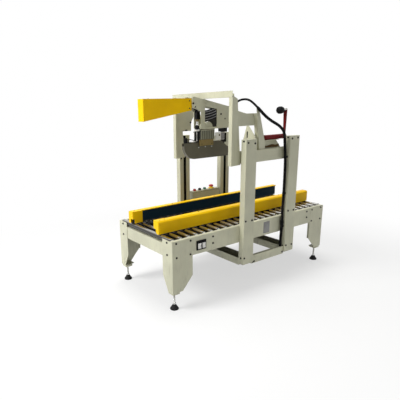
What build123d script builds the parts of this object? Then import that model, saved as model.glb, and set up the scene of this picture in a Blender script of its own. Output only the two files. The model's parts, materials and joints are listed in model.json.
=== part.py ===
from build123d import *
import math
import os

# A side-belt carton sealing machine with a flap-folding arm.
# X runs along the roller bed, from infeed (-X) to outfeed (+X).
# The operator's side, called near, is -Y; the other side is far.  Z is up, and the floor is at zero.

# Roller bed, millimetres
bed_length = 2000.0
bed_width = 884.0
bed_top = 622.0
bed_bottom = 465.0
sheet = 4.0
bed_flange = 36.0
bed_lip = 20.0
tray_sheet = 3.0

# Corner legs and levelling feet
leg_width = 212.0
leg_knee = 287.0
leg_toe = 165.0
leg_toe_width = 104.0
leg_end_width = 142.0
leg_end_knee = 300.0
leg_flange = 18.0
foot_inset = 45.0
foot_stem = 16.0
foot_bracket = 70.0
foot_bracket_height = 22.0
foot_pad = 76.0
foot_pad_height = 44.0
foot_pad_rim = 10.0

# Rollers
roller_diameter = 50.0
roller_count = 24
roller_end_inset = 31.7
roller_sets = 3
roller_stub = 12.0
roller_end_gap = 3.0
stub_clearance = 1.0

# Four posts outside the bed
post_gap = 445.0
post_width = 128.0
post_depth = 58.0
post_bottom = 257.0
post_top = 1392.0
post_slot = 36.0
gantry_centre = 104.5
base_channel_bottom = 243.0
base_channel_height = 68.0
rail_bottom = 237.0
rail_height = 78.0
rail_depth = 30.0

# Side belt units
belt_gap = 360.0
belt_thickness = 4.0
belt_height = 92.0
belt_proud = 4.0
belt_cover_width = 66.0
belt_cover_top = 754.0
belt_cover_sheet = 3.0
belt_cover_bevel = 12.0
belt_lip_gap = 2.0
belt_cap_proud = 4.0
belt_cap_notch = 20.0
belt_cap_length = 107.0
belt_outfeed_inset = 22.0
pulley_diameter = 50.0
pulley_inset = 52.0
belt_base_thickness = 8.0
belt_edge_gap = 4.0
roller_clearance = 5.0
stem_thickness = 20.0
stem_width = 40.0
shoe_length = 60.0
shoe_width = 80.0
shoe_height = 20.0
cross_rail = 40.0
cross_rail_top = 540.0

# Head that rides on the posts; a drop or a rise is measured from the underside of its top bar
head_front = -340.0
column_outer = 420.0
column_depth = 42.0
column_top_rise = 15.0
column_shoulder_drop = 13.0
column_bottom_drop = 575.0
column_neck = 58.0
column_foot = 108.0
machine_height = 1795.0
top_bar_height = 52.0
top_bar_stiffener = 30.0
side_plate_end = -60.0
side_plate_top_drop = 137.0
side_plate_rise = 37.0
side_plate_bottom_drop = 241.0
side_plate_neck = 115.0
side_plate_step = 75.0
far_plate_band = 30.0
far_plate_end = -99.0
far_plate_step = 41.0
far_plate_shoulder_drop = 152.0
far_plate_knee_drop = 223.0
far_plate_bottom_drop = 306.0
carriage_gap = 8.0
carriage_depth = 48.0
carriage_bottom_drop = 563.0
carriage_height = 108.0
carriage_overlap = 108.0
carriage_back_inset = 7.0
carriage_back_slant = 72.0
strut_top_drop = 93.0
strut_foot = 74.0
strut_head = 22.0
strut_lean = 50.0
strut_shoulder = 50.0
gusset_width = 166.0
gusset_near_rise = 104.0
gusset_rise = 216.0
gusset_tip = 18.0
gusset_tip_inset = 98.0
gusset_lap = 40.0
gusset_slot_width = 16.0
gusset_slot_height = 56.0
gusset_slot_inset = 108.0
guide_block_length = 90.0
guide_clearance = 3.0
guide_depth = 30.0

# Tape head between the columns
tape_frame_gap = 3.0
tape_frame_end = 66.0
tape_frame_top_drop = 16.0
tape_frame_low_top_drop = 75.0
tape_frame_step = 300.0
tape_frame_step_rise = 6.0
tape_frame_bottom_drop = 269.0
window_length = 151.0
window_height = 190.0
window_fall = 30.0
window_start = 11.0
window_sill = 16.0
cartridge_width = 90.0
cartridge_length = 163.0
cartridge_front = -366.0
cartridge_bottom_drop = 363.0
cartridge_hanger = 6.0
cartridge_roller = 36.0
cartridge_roller_x = -305.0
cartridge_roller_pitch = 66.0
cartridge_roller_rise = 42.0
tape_roll_diameter = 190.0
tape_roll_width = 76.0
tape_roll_x = -128.0
tape_roll_drop = 163.0
tape_core = 76.0

# Fold sled below the tape head
sled_width = 36.0
sled_sheet = 4.0
sled_nose = -540.0
sled_tail = 122.0
sled_bottom_drop = 537.0
sled_top_drop = 388.0
sled_tail_top_drop = 451.0
sled_nose_radius = 124.0
sled_rear_end = -88.0
sled_rear_slope = 83.0
sled_mount_front = -340.0
sled_mount_length = 126.0
sled_mount_width = 90.0
sled_mount_cheek = 10.0
sled_mount_reach = 38.0
sled_mount_height = 55.0
sled_hanger_x = -71.0
sled_hanger_width = 26.0
rear_arm_front = -185.0
rear_arm_bottom_drop = 376.0
rear_arm_top_drop = 306.0
rear_arm_half = 40.0
rear_arm_sheet = 6.0

# Flap arm with its bracket and air cylinder
arm_tip = -978.0
arm_root = -472.0
arm_width = 84.0
arm_top_rise = 6.0
arm_tip_bottom_drop = 177.0
arm_root_bottom_drop = 98.0
arm_wall = 4.0
pivot_x = -440.0
pivot_drop = 68.0
pivot_pin = 16.0
pin_clearance = 0.05
bracket_sheet = 6.0
bracket_lap = 12.0
bracket_top_rise = 18.0
bracket_nose = 20.0
bracket_chamfer = 4.0
bracket_top_fall = 24.0
bracket_root_below = 8.0
bracket_tail = 62.0
bracket_tail_below = 26.0
bracket_strip_below = 46.0
bracket_strip = 44.0
bracket_strip_bottom_drop = 265.0
hub_wall = 14.0
hub_neck = 12.0
hub_chamfer = 8.0
tail_rise = 16.0
lug_reach = 65.0
lug_drop = 28.0
lug_thickness = 12.0
lug_boss = 30.0
link_pin = 12.0
cylinder_diameter = 58.0
shelf_front = -505.0
shelf_thickness = 6.0
cylinder_floor_drop = 356.0
cylinder_top_drop = 285.0
cylinder_cap = 42.0
cylinder_cap_top_drop = 230.0
rod_diameter = 16.0
rod_end_gap = 4.0
clevis_width = 34.0
clevis_ear = 8.0
clevis_slot_play = 1.0
clevis_front = 16.0
clevis_back = 22.0
clevis_lift = 49.0
clevis_over = 20.0

# Lever on the near carriage beam
lever_axis_drop = 355.0
lever_shaft = 44.0
lever_shaft_start = 68.0
lever_shaft_end = 334.0
lever_length = 236.0
lever_thickness = 16.0
lever_width = 32.0
lever_foot_width = 14.0
lever_knob = 62.0
lever_knob_length = 50.0
lever_neck = 26.0
lever_neck_length = 42.0
lever_axle = 20.0
lever_gap = 1.0
lever_bore_depth = 40.0

# Control box on the far side
box_start = -75.0
box_length = 378.0
box_bottom = 632.0
box_top = 778.0
button_diameter = 22.0
button_height = 16.0
button_spacing = 72.0
button_inset = 46.0
button_count = 3
box_tab_length = 240.0
box_tab_bottom = 560.0
stop_diameter = 42.0
stop_collar = 54.0
stop_collar_height = 6.0
stop_neck = 26.0
stop_neck_height = 16.0
stop_cap_height = 14.0
stop_inset = 92.0

# Switch plate on the near side of the bed
switch_plate_length = 104.0
switch_plate_height = 84.0
switch_plate_thickness = 6.0
switch_plate_inset = 305.0
switch_plate_z = 540.0

# Corrugated conduit, clipped down the near outfeed post
conduit_diameter = 22.0
clip_width = 20.0
clip_wall = 4.0
clip_room = 6.0
conduit_inset = 4.0
conduit_bow = 5.0
conduit_exit_drop = 47.0
conduit_clip_heights = (1200.0, 850.0, 520.0)

# Places worked out from the sizes above
half_length = bed_length / 2
side_face = bed_width / 2
inner_face = side_face - sheet
roller_axis = bed_top - sheet - roller_stub / 2 - stub_clearance
roller_top = roller_axis + roller_diameter / 2
roller_half = side_face - bed_flange - roller_end_gap
first_roller = -half_length + roller_end_inset
roller_pitch = (bed_length - 2 * roller_end_inset) / (roller_count - 1)
rollers_per_set = roller_count // roller_sets
post_outer = side_face + post_depth
post_in_start = gantry_centre - post_gap / 2 - post_width
post_in_end = post_in_start + post_width
post_out_start = gantry_centre + post_gap / 2
post_out_end = post_out_start + post_width
belt_face = belt_gap / 2
cover_inner = belt_face + belt_proud
cover_outer = cover_inner + belt_cover_width
base_bottom = roller_top + roller_clearance
base_top = base_bottom + belt_base_thickness
belt_bottom = base_top + belt_edge_gap
belt_top = belt_bottom + belt_height
pulley_y = belt_face + belt_thickness + pulley_diameter / 2
pulley_x = half_length - pulley_inset
cover_end = half_length - belt_outfeed_inset
top_bar_bottom = machine_height - top_bar_height
column_top = top_bar_bottom + column_top_rise
column_shoulder = top_bar_bottom - column_shoulder_drop
column_bottom = top_bar_bottom - column_bottom_drop
side_plate_top = top_bar_bottom - side_plate_top_drop
side_plate_bottom = top_bar_bottom - side_plate_bottom_drop
far_plate_shoulder = top_bar_bottom - far_plate_shoulder_drop
far_plate_knee = top_bar_bottom - far_plate_knee_drop
far_plate_bottom = top_bar_bottom - far_plate_bottom_drop
carriage_bottom = top_bar_bottom - carriage_bottom_drop
strut_top = top_bar_bottom - strut_top_drop
tape_frame_top = top_bar_bottom - tape_frame_top_drop
tape_frame_low_top = top_bar_bottom - tape_frame_low_top_drop
tape_frame_bottom = top_bar_bottom - tape_frame_bottom_drop
cartridge_bottom = top_bar_bottom - cartridge_bottom_drop
tape_roll_z = top_bar_bottom - tape_roll_drop
sled_bottom = top_bar_bottom - sled_bottom_drop
sled_top = top_bar_bottom - sled_top_drop
sled_tail_top = top_bar_bottom - sled_tail_top_drop
rear_arm_bottom = top_bar_bottom - rear_arm_bottom_drop
rear_arm_top = top_bar_bottom - rear_arm_top_drop
arm_top = top_bar_bottom + arm_top_rise
arm_tip_bottom = top_bar_bottom - arm_tip_bottom_drop
arm_root_bottom = top_bar_bottom - arm_root_bottom_drop
pivot_z = top_bar_bottom - pivot_drop
bracket_top = top_bar_bottom + bracket_top_rise
bracket_strip_bottom = top_bar_bottom - bracket_strip_bottom_drop
cylinder_floor = top_bar_bottom - cylinder_floor_drop
cylinder_top = top_bar_bottom - cylinder_top_drop
cylinder_cap_top = top_bar_bottom - cylinder_cap_top_drop
lever_axis_z = top_bar_bottom - lever_axis_drop
carriage_outer = side_face - carriage_gap
carriage_inner = carriage_outer - carriage_depth
carriage_top = carriage_bottom + carriage_height
column_inner = column_outer - column_depth
lever_y = -(carriage_inner + carriage_outer) / 2
tape_frame_half = arm_width / 2 + tape_frame_gap + sheet
link_x = pivot_x + lug_reach
link_z = pivot_z - lug_drop
lever_seat = lever_axis_z - lever_shaft / 2
switch_plate_x = -half_length + switch_plate_inset
box_front = side_face
box_back = post_outer


def block(x_from, x_to, y_from, y_to, z_from, z_to):
    """A plain box from its two corners."""
    size = (abs(x_to - x_from), abs(y_to - y_from), abs(z_to - z_from))
    centre = ((x_from + x_to) / 2, (y_from + y_to) / 2, (z_from + z_to) / 2)
    return Pos(*centre) * Box(*size)


def plate_xz(points, y_from, y_to):
    """A flat plate: an outline in X and Z, carried from one Y to the other."""
    outline = make_face(Polyline(*[(x, y_from, z) for x, z in points], close=True))
    return extrude(outline, amount=abs(y_to - y_from), dir=(0, math.copysign(1, y_to - y_from), 0))


def plate_yz(points, x_from, x_to):
    """A flat plate: an outline in Y and Z, carried from one X to the other."""
    outline = make_face(Polyline(*[(x_from, y, z) for y, z in points], close=True))
    return extrude(outline, amount=abs(x_to - x_from), dir=(math.copysign(1, x_to - x_from), 0, 0))


def plate_xy(points, z_from, z_to):
    """A flat plate: an outline in X and Y, carried from one Z up to the other."""
    outline = make_face(Polyline(*[(x, y, z_from) for x, y in points], close=True))
    return extrude(outline, amount=z_to - z_from, dir=(0, 0, 1))


def rod(start, end, diameter):
    """A round bar between two points."""
    axis = Vector(*end) - Vector(*start)
    return extrude(Plane(origin=start, z_dir=axis) * Circle(diameter / 2), amount=axis.length)


def far_side(shape):
    """The mirrored copy on the far side."""
    return mirror(shape, about=Plane.XZ)


def outfeed_end(shape):
    """The mirrored copy at the outfeed end."""
    return mirror(shape, about=Plane.YZ)


# Bed side plate: a web with an inward flange on top and a lip below
def side_plate():
    web = block(-half_length, half_length, -side_face, -inner_face, bed_bottom, bed_top)
    inset = half_length - sheet
    flange = block(-inset, inset, -inner_face, -side_face + bed_flange, bed_top - sheet, bed_top)
    lip = block(-inset, inset, -inner_face, -side_face + bed_lip, bed_bottom, bed_bottom + sheet)
    return web + flange + lip


# Bed tray: a thin sheet below the rollers, lying on the lips of both side plates
def bed_tray():
    end = half_length - 3 * sheet
    low = bed_bottom + sheet
    return block(-end, end, -inner_face, inner_face, low, low + tray_sheet)


# Corner leg: a side face and an end face bent at the corner, both tapering down to the foot
def leg():
    corner = -half_length
    under = bed_bottom
    inner_edge = corner + leg_width
    toe = corner + leg_toe_width
    side = plate_xz(
        [(corner, under), (inner_edge, under), (inner_edge, leg_knee), (toe, leg_toe), (corner, leg_toe)],
        -side_face, -inner_face)
    end_edge = -side_face + leg_end_width
    end_toe = -side_face + foot_bracket
    end = plate_yz(
        [(-inner_face, bed_top), (end_edge, bed_top), (end_edge, leg_end_knee), (end_toe, leg_toe),
         (-side_face, leg_toe), (-side_face, under), (-inner_face, under)],
        corner, corner + sheet)
    hem = -inner_face + leg_flange
    return_flange = block(inner_edge - sheet, inner_edge, -inner_face, hem, leg_knee, under)
    seat = block(corner, toe, -side_face, end_toe, leg_toe, leg_toe + sheet)
    return side + end + return_flange + seat


# End member: a channel across the bed between the side plates
def end_member():
    face = -half_length + sheet
    top = roller_axis - roller_diameter / 2 - roller_clearance
    web = block(face, face + sheet, -inner_face, inner_face, bed_bottom + sheet, top)
    flange = block(face + sheet, face + bed_flange, -inner_face, inner_face, top - sheet, top)
    return web + flange


# Levelling foot: a bracket under the leg, a threaded stem and a round pad on the floor
def foot():
    x = -half_length + foot_inset
    y = -side_face + foot_inset
    half = foot_bracket / 2
    bracket = block(x - half, x + half, y - half, y + half, leg_toe - foot_bracket_height, leg_toe)
    stem = rod((x, y, foot_pad_height), (x, y, leg_toe - foot_bracket_height), foot_stem)
    pad = Pos(x, y, 0) * revolve(make_face(Polyline(
        (0, 0, 0), (foot_pad / 2, 0, 0), (foot_pad / 2, 0, foot_pad_rim), (foot_stem, 0, foot_pad_height),
        (0, 0, foot_pad_height), close=True)), axis=Axis.Z)
    return bracket + stem + pad


# Roller: a tube with closed ends on a thin axle that reaches the side plates
def roller(index):
    x = first_roller + index * roller_pitch
    tube = rod((x, -roller_half, roller_axis), (x, roller_half, roller_axis), roller_diameter)
    axle = rod((x, -inner_face, roller_axis), (x, inner_face, roller_axis), roller_stub)
    return tube + axle


# Post: a folded C section with a slot down its inner face and a cap on top
def post(x_start):
    x_end = x_start + post_width
    slot_start = (x_start + x_end - post_slot) / 2
    slot_end = slot_start + post_slot
    outer, inner = -post_outer, -side_face
    section = [
        (x_start, outer), (x_end, outer), (x_end, inner), (slot_end, inner), (slot_end, inner - sheet),
        (x_end - sheet, inner - sheet), (x_end - sheet, outer + sheet), (x_start + sheet, outer + sheet),
        (x_start + sheet, inner - sheet), (slot_start, inner - sheet), (slot_start, inner), (x_start, inner)]
    cap = block(x_start + sheet, x_end - sheet, outer + sheet, inner - sheet, post_top - sheet, post_top)
    return plate_xy(section, post_bottom, post_top) + cap


# Base channel: an open channel across the floor side, joining a near post to the far one
def base_channel(x_start):
    x_end = x_start + post_width
    top = base_channel_bottom + base_channel_height
    section = [
        (x_start, base_channel_bottom), (x_end, base_channel_bottom), (x_end, top), (x_end - sheet, top),
        (x_end - sheet, base_channel_bottom + sheet), (x_start + sheet, base_channel_bottom + sheet),
        (x_start + sheet, top), (x_start, top)]
    return plate_xz(section, -side_face, side_face)


# Lower rail: a channel between the two posts of one side
def lower_rail():
    front = -post_outer + rail_depth / 2
    back = front + rail_depth
    top = rail_bottom + rail_height
    section = [
        (front, rail_bottom), (back, rail_bottom), (back, rail_bottom + sheet),
        (front + sheet, rail_bottom + sheet), (front + sheet, top - sheet), (back, top - sheet), (back, top),
        (front, top)]
    return plate_yz(section, post_in_end, post_out_start)


# Cross rail below the rollers, on which both belt units slide apart
def cross_rail_bar(x):
    half = cross_rail / 2
    return block(x - half, x + half, -inner_face, inner_face, cross_rail_top - cross_rail, cross_rail_top)


def stem_places():
    """The middle of each gap between two roller sets."""
    return [first_roller + roller_pitch * (rollers_per_set * step - 0.5) for step in range(1, roller_sets)]


# Belt cover: a folded yellow hood, open towards the belt and below
def belt_cover():
    start = -half_length + belt_cap_length
    outer, inner, wall = -cover_outer, -cover_inner, belt_cover_sheet
    top, lip = belt_cover_top, belt_top + belt_lip_gap
    bevel = belt_cover_bevel
    section = [
        (outer, base_bottom), (outer, top - bevel), (outer + bevel, top), (inner, top), (inner, lip),
        (inner - wall, lip), (inner - wall, top - wall), (outer + bevel + wall / 2, top - wall),
        (outer + wall, top - bevel - wall / 2), (outer + wall, base_bottom)]
    return plate_yz(section, start, cover_end)


# End cap: the closed hood over the infeed pulley, notched at its inner lower corner
def belt_end_cap():
    start = -half_length
    end = start + belt_cap_length
    outer, inner, wall = -cover_outer, -belt_face + belt_cap_proud, belt_cover_sheet
    bevel = belt_cover_bevel
    top = belt_cover_top
    low = base_bottom
    profile = [(outer, low), (outer, top - bevel), (outer + bevel, top), (inner, top), (inner, low)]
    hollow = [
        (outer + wall, low), (outer + wall, top - bevel - wall / 2), (outer + bevel + wall / 2, top - wall),
        (inner - wall, top - wall), (inner - wall, low)]
    shell = plate_yz(profile, start, end) - plate_yz(hollow, start + wall, end)
    notch = belt_cap_notch
    return shell - block(start, start + notch, inner - 2 * notch, inner, low, low + 2 * notch)


# Belt: one closed loop round the two pulleys
def belt_loop():
    outside = pulley_diameter / 2 + belt_thickness
    centre = Plane(origin=(0, -pulley_y, belt_bottom))
    ring = SlotCenterToCenter(2 * pulley_x, 2 * outside) - SlotCenterToCenter(2 * pulley_x, pulley_diameter)
    return extrude(centre * ring, amount=belt_height)


# Pulleys: a drum at each end on a shaft that stands on the base
def belt_pulleys():
    drums = []
    for x in (-pulley_x, pulley_x):
        drum = rod((x, -pulley_y, belt_bottom), (x, -pulley_y, belt_top), pulley_diameter)
        shaft = rod((x, -pulley_y, base_top), (x, -pulley_y, belt_top + belt_edge_gap), roller_stub)
        drums.append(drum + shaft)
    return Compound(children=drums)


# Belt carrier: the base with its backing rib, and a stem and shoe at each cross rail
def belt_carrier():
    outer = -cover_outer + belt_cover_sheet
    cut = belt_cover_width / 4 + belt_cover_sheet
    inner = -cover_inner - cut
    start = -half_length + belt_cover_sheet
    base = block(start, cover_end, outer, inner, base_bottom, base_top)
    rib_back = -belt_face - belt_thickness - sheet
    rib_end = pulley_x - pulley_diameter
    rib = block(-rib_end, rib_end, rib_back - belt_edge_gap, rib_back, base_top, belt_top)
    pressure = block(-rib_end, rib_end, rib_back, -belt_face - belt_thickness, belt_bottom, belt_top)
    foot_strip = block(-rib_end, rib_end, rib_back - belt_edge_gap, rib_back, base_bottom, base_top)
    shape = base + rib + pressure + foot_strip
    middle = -pulley_y
    for x in stem_places():
        stem = block(x - stem_thickness / 2, x + stem_thickness / 2, middle - stem_width / 2,
                     middle + stem_width / 2, cross_rail_top, base_bottom)
        shoe = block(x - shoe_length / 2, x + shoe_length / 2, middle - shoe_width / 2,
                     middle + shoe_width / 2, cross_rail_top, cross_rail_top + shoe_height)
        shape = shape + stem + shoe
    return shape


# Head column: a folded channel, open towards the outfeed, wider at its foot
def head_column():
    outline = [
        (head_front, column_top), (head_front + column_neck, column_shoulder),
        (head_front + column_foot, column_bottom + sheet), (head_front, column_bottom)]
    outer = plate_xz(outline, -column_outer, -column_outer + sheet)
    inner = plate_xz(outline, -column_inner - sheet, -column_inner)
    front = block(head_front, head_front + sheet, -column_outer, -column_inner, column_bottom, column_top)
    return outer + inner + front


# Top bar: an angle across both columns, its upright leg standing above them
def head_top_bar():
    low = top_bar_bottom
    upright = block(head_front - sheet, head_front, -column_outer, column_outer, low, machine_height)
    back = head_front + column_neck
    deck = block(head_front, back, -column_inner, column_inner, low, low + sheet)
    rise = low + top_bar_stiffener
    stiffener = block(back - sheet, back, -column_inner, column_inner, low + sheet, rise)
    return upright + deck + stiffener


def strut_left(z):
    """The X of the strut's left edge at one height."""
    return side_plate_end + strut_lean * (strut_top - z) / (strut_top - carriage_top)


# Near head side plate: from inside the column to the strut
def near_side_plate():
    start = head_front + sheet
    neck = start + side_plate_neck
    knee = (neck + side_plate_end) / 2
    high = side_plate_top + side_plate_rise
    outline = [
        (start, high), (neck - side_plate_step, high), (knee, side_plate_top),
        (strut_left(side_plate_top), side_plate_top), (strut_left(side_plate_bottom), side_plate_bottom),
        (start, side_plate_bottom)]
    return plate_xz(outline, -carriage_inner - sheet, -carriage_inner)


# Far head side plate: deeper beside its column, with only a band reaching the strut
def far_side_plate():
    start = head_front + sheet
    band = strut_top - far_plate_band
    knee = far_plate_end - far_plate_step
    outline = [
        (start, strut_top), (strut_left(strut_top), strut_top), (strut_left(band), band),
        (far_plate_end, band), (far_plate_end, far_plate_shoulder), (knee, far_plate_knee),
        (knee, far_plate_bottom), (start, far_plate_bottom)]
    return plate_xz(outline, carriage_inner, carriage_inner + sheet)


# Strut: a leaning folded channel from the side plate down between the walls of the carriage beam
def head_strut():
    top_x = side_plate_end
    foot_z = carriage_bottom + sheet
    foot_x = strut_left(foot_z)
    toe = top_x + strut_lean + strut_foot
    crown = top_x + 2 * strut_head
    shoulder = strut_top - strut_shoulder
    ankle = carriage_top + strut_shoulder
    face = -carriage_outer + sheet
    back = -carriage_inner - sheet
    outline = [
        (top_x, strut_top), (top_x + strut_head, strut_top - sheet), (crown, shoulder),
        (toe, ankle), (toe, foot_z), (foot_x, foot_z)]
    web = plate_xz(outline, face, face + sheet)

    def left_flange(high, low, y_to):
        x_high, x_low = strut_left(high), strut_left(low)
        return plate_xz(
            [(x_high, high), (x_high + sheet, high), (x_low + sheet, low), (x_low, low)], face + sheet, y_to)

    right = plate_xz(
        [(crown, shoulder), (toe, ankle), (toe, carriage_top), (toe - sheet, carriage_top),
         (toe - sheet, ankle), (crown - sheet, shoulder)],
        face + sheet, -carriage_inner)
    right_foot = block(toe - sheet, toe, face + sheet, back, foot_z, carriage_top)
    left = left_flange(side_plate_top, carriage_top, -carriage_inner)
    left_foot = left_flange(carriage_top, foot_z, back)
    return web + left + left_foot + right + right_foot


# Gusset: a slotted triangular plate facing the infeed, standing on the carriage beam and reaching inwards
def head_gusset():
    outer, inner = -carriage_outer, -carriage_outer + gusset_width
    tip = outer + gusset_tip_inset
    low = carriage_top - gusset_lap
    outline = [
        (outer, carriage_top), (-carriage_inner, carriage_top), (-carriage_inner, low), (inner, low),
        (inner, carriage_top + gusset_near_rise / 2), (tip + gusset_tip, carriage_top + gusset_rise),
        (tip, carriage_top + gusset_rise), (outer, carriage_top + gusset_near_rise)]
    slot_y = outer + gusset_slot_inset
    slot_z = carriage_top + gusset_near_rise
    half = gusset_slot_width / 2
    x = side_plate_end
    slot = block(x - sheet, x + 2 * sheet, slot_y - half, slot_y + half,
                 slot_z, slot_z + gusset_slot_height)
    return plate_yz(outline, x, x + sheet) - slot


# Carriage beam: an open-topped channel behind the two posts of one side, with a tongue that reaches into
# the column.  Its back wall rises to a seat on which the lever's shaft lies.
def carriage_beam():
    start = post_in_end - carriage_overlap
    end = post_out_start + carriage_overlap
    outer, inner = -carriage_outer, -carriage_inner
    bottom, top = carriage_bottom, carriage_top
    section = [
        (outer, bottom), (inner, bottom), (inner, top), (inner - sheet, top),
        (inner - sheet, bottom + sheet), (outer + sheet, bottom + sheet), (outer + sheet, top), (outer, top)]
    beam = plate_yz(section, start, end)
    rear_start = side_plate_end + strut_lean + strut_foot
    rear_end = post_out_start - carriage_back_inset
    rear_crown = rear_end - carriage_back_slant
    rear = plate_xz(
        [(rear_start, top), (rear_end, top), (rear_crown, lever_seat), (rear_start, lever_seat)],
        inner - sheet, inner)
    seat = block(rear_start, rear_crown, outer, inner, lever_seat - sheet, lever_seat)
    tongue = block(head_front + sheet, start, inner - sheet, inner, bottom, top)
    return beam + rear + seat + tongue


# Guide blocks: one in the slot of each post
def guide_blocks():
    blocks = []
    half = post_slot / 2 - guide_clearance
    middle = (carriage_bottom + carriage_top) / 2
    low = middle - guide_block_length / 2
    high = middle + guide_block_length / 2
    for x_start in (post_in_start, post_out_start):
        x = x_start + post_width / 2
        near = block(x - half, x + half, -side_face - guide_depth, -carriage_outer, low, high)
        blocks.extend(pair(near))
    return blocks


# Tape head frame: two windowed plates behind the top bar
def tape_frame_plate():
    start = head_front
    outline = [
        (start, top_bar_bottom), (start + column_neck, tape_frame_top),
        (start + tape_frame_step, tape_frame_low_top + tape_frame_step_rise),
        (tape_frame_end, tape_frame_low_top), (tape_frame_end, tape_frame_bottom),
        (start, tape_frame_bottom)]
    y = -tape_frame_half
    left, right = start + window_start, start + window_start + window_length
    low = tape_frame_bottom + window_sill
    high = low + window_height
    opening = [(left, low), (right, low), (right, high - window_fall), (left, high)]
    window = plate_xz(opening, y - sheet, y + 2 * sheet)
    return plate_xz(outline, y, y + sheet) - window


# Tape cartridge: two cheeks with two rollers between them, hung from the tape frame by a plate
def tape_cartridge():
    y = cartridge_width / 2
    start = cartridge_front
    end = start + cartridge_length
    top = tape_frame_bottom - cartridge_hanger
    bottom = cartridge_bottom
    shape = block(start, end, -y, -y + sheet, bottom, top) + block(start, end, y - sheet, y, bottom, top)
    z = bottom + cartridge_roller_rise
    for x in (cartridge_roller_x, cartridge_roller_x + cartridge_roller_pitch):
        shape = shape + rod((x, -y + sheet, z), (x, y - sheet, z), cartridge_roller)
    return shape + block(head_front, end, -tape_frame_half, tape_frame_half, top, tape_frame_bottom)


# Tape roll on its core, carried between the frame plates
def tape_roll():
    half = tape_roll_width / 2
    reach = tape_frame_half - sheet
    roll = rod((tape_roll_x, -half, tape_roll_z), (tape_roll_x, half, tape_roll_z), tape_roll_diameter)
    core = rod((tape_roll_x, -reach, tape_roll_z), (tape_roll_x, reach, tape_roll_z), tape_core / 3)
    return roll + core


# Fold sled: a narrow pressed trough with two cheeks and a nose that curves up
def fold_sled():
    half = sled_width / 2
    radius = sled_nose_radius
    crown = (sled_nose + radius, sled_bottom + radius)
    diagonal = math.sqrt(0.5)

    def arc(size, y, upwards):
        low = (crown[0], y, crown[1] - size)
        middle = (crown[0] - size * diagonal, y, crown[1] - size * diagonal)
        high = (crown[0] - size, y, crown[1])
        return ThreePointArc(low, middle, high) if upwards else ThreePointArc(high, middle, low)

    def cheek(y_from, y_to):
        corners = [
            (crown[0], sled_bottom), (sled_tail, sled_bottom), (sled_tail, sled_tail_top),
            (sled_rear_end + sled_rear_slope, sled_tail_top), (sled_rear_end, sled_top),
            (sled_nose, sled_top), (sled_nose, crown[1])]
        edges = [arc(radius, y_from, False), Polyline(*[(x, y_from, z) for x, z in corners])]
        return extrude(make_face(edges), amount=y_to - y_from, dir=(0, 1, 0))

    top = sled_bottom + sled_sheet
    floor_edges = [
        arc(radius, -half, False),
        Polyline((crown[0], -half, sled_bottom), (sled_tail, -half, sled_bottom), (sled_tail, -half, top),
                 (crown[0], -half, top)),
        arc(radius - sled_sheet, -half, True),
        Line((sled_nose + sled_sheet, -half, crown[1]), (sled_nose, -half, crown[1]))]
    trough = extrude(make_face(floor_edges), amount=sled_width, dir=(0, 1, 0))
    return cheek(-half, -half + sled_sheet) + cheek(half - sled_sheet, half) + trough


# Sled mount: a saddle over the sled under the tape cartridge, its two cheeks reaching forward past
# the cylinder
def sled_mount():
    half = sled_mount_width / 2
    start, end = sled_mount_front, sled_mount_front + sled_mount_length
    high = cartridge_bottom
    low = high - sled_mount_height
    room = sled_width / 2
    saddle = block(start, end, -half, half, low, high) - block(start, end, -room, room, low, sled_top)
    for y in (-half, half - sled_mount_cheek):
        saddle = saddle + block(start - sled_mount_reach, start, y, y + sled_mount_cheek, low, high)
    return saddle


# Sled hanger: an upright from a foot plate under the tape frame down into the rear of the sled
def sled_hanger():
    half = sled_width / 2 - sled_sheet
    x, end = sled_hanger_x, sled_hanger_x + sled_hanger_width
    low = sled_bottom + sled_sheet
    foot_plate = block(x, end, -tape_frame_half, tape_frame_half, rear_arm_top, tape_frame_bottom)
    return foot_plate + block(x, end, -half, half, low, rear_arm_top)


# Rear arm: a plate beside the hanger, held by the hanger's foot plate
def rear_arm():
    y = -rear_arm_half
    return block(rear_arm_front, sled_hanger_x, y, y + rear_arm_sheet, rear_arm_bottom, rear_arm_top)


# Arm brackets: the two cheek plates outside the tape frame that carry the arm's pivot
def arm_bracket_plate():
    bar = head_front - sheet
    back = head_front + bracket_lap
    strip = back - bracket_strip
    top = bracket_top
    root_bottom = pivot_z - bracket_root_below
    outline = [
        (arm_root, top - bracket_chamfer), (arm_root + bracket_nose, top), (bar, top - bracket_top_fall),
        (back, top - bracket_top_fall),
        (back, bracket_strip_bottom), (strip, bracket_strip_bottom),
        (strip, pivot_z - bracket_strip_below), (arm_root + bracket_tail, pivot_z - bracket_tail_below),
        (arm_root, root_bottom)]
    plate = plate_xz(outline, -tape_frame_half - bracket_sheet, -tape_frame_half)
    bore = rod((pivot_x, -2 * tape_frame_half, pivot_z), (pivot_x, 0, pivot_z), pivot_pin + 2 * pin_clearance)
    return plate - bore


# Flap arm: a tapered hollow box
def flap_arm():
    half = arm_width / 2
    outline = [
        (arm_tip, arm_top), (arm_root, arm_top), (arm_root, arm_root_bottom), (arm_tip, arm_tip_bottom)]
    wall = arm_wall
    front, back, top = arm_tip + wall, arm_root - wall, arm_top - wall
    room = [(front, top), (back, top), (back, arm_root_bottom + wall), (front, arm_tip_bottom + wall)]
    return plate_xz(outline, -half, half) - plate_xz(room, -half + wall, half - wall)


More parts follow.
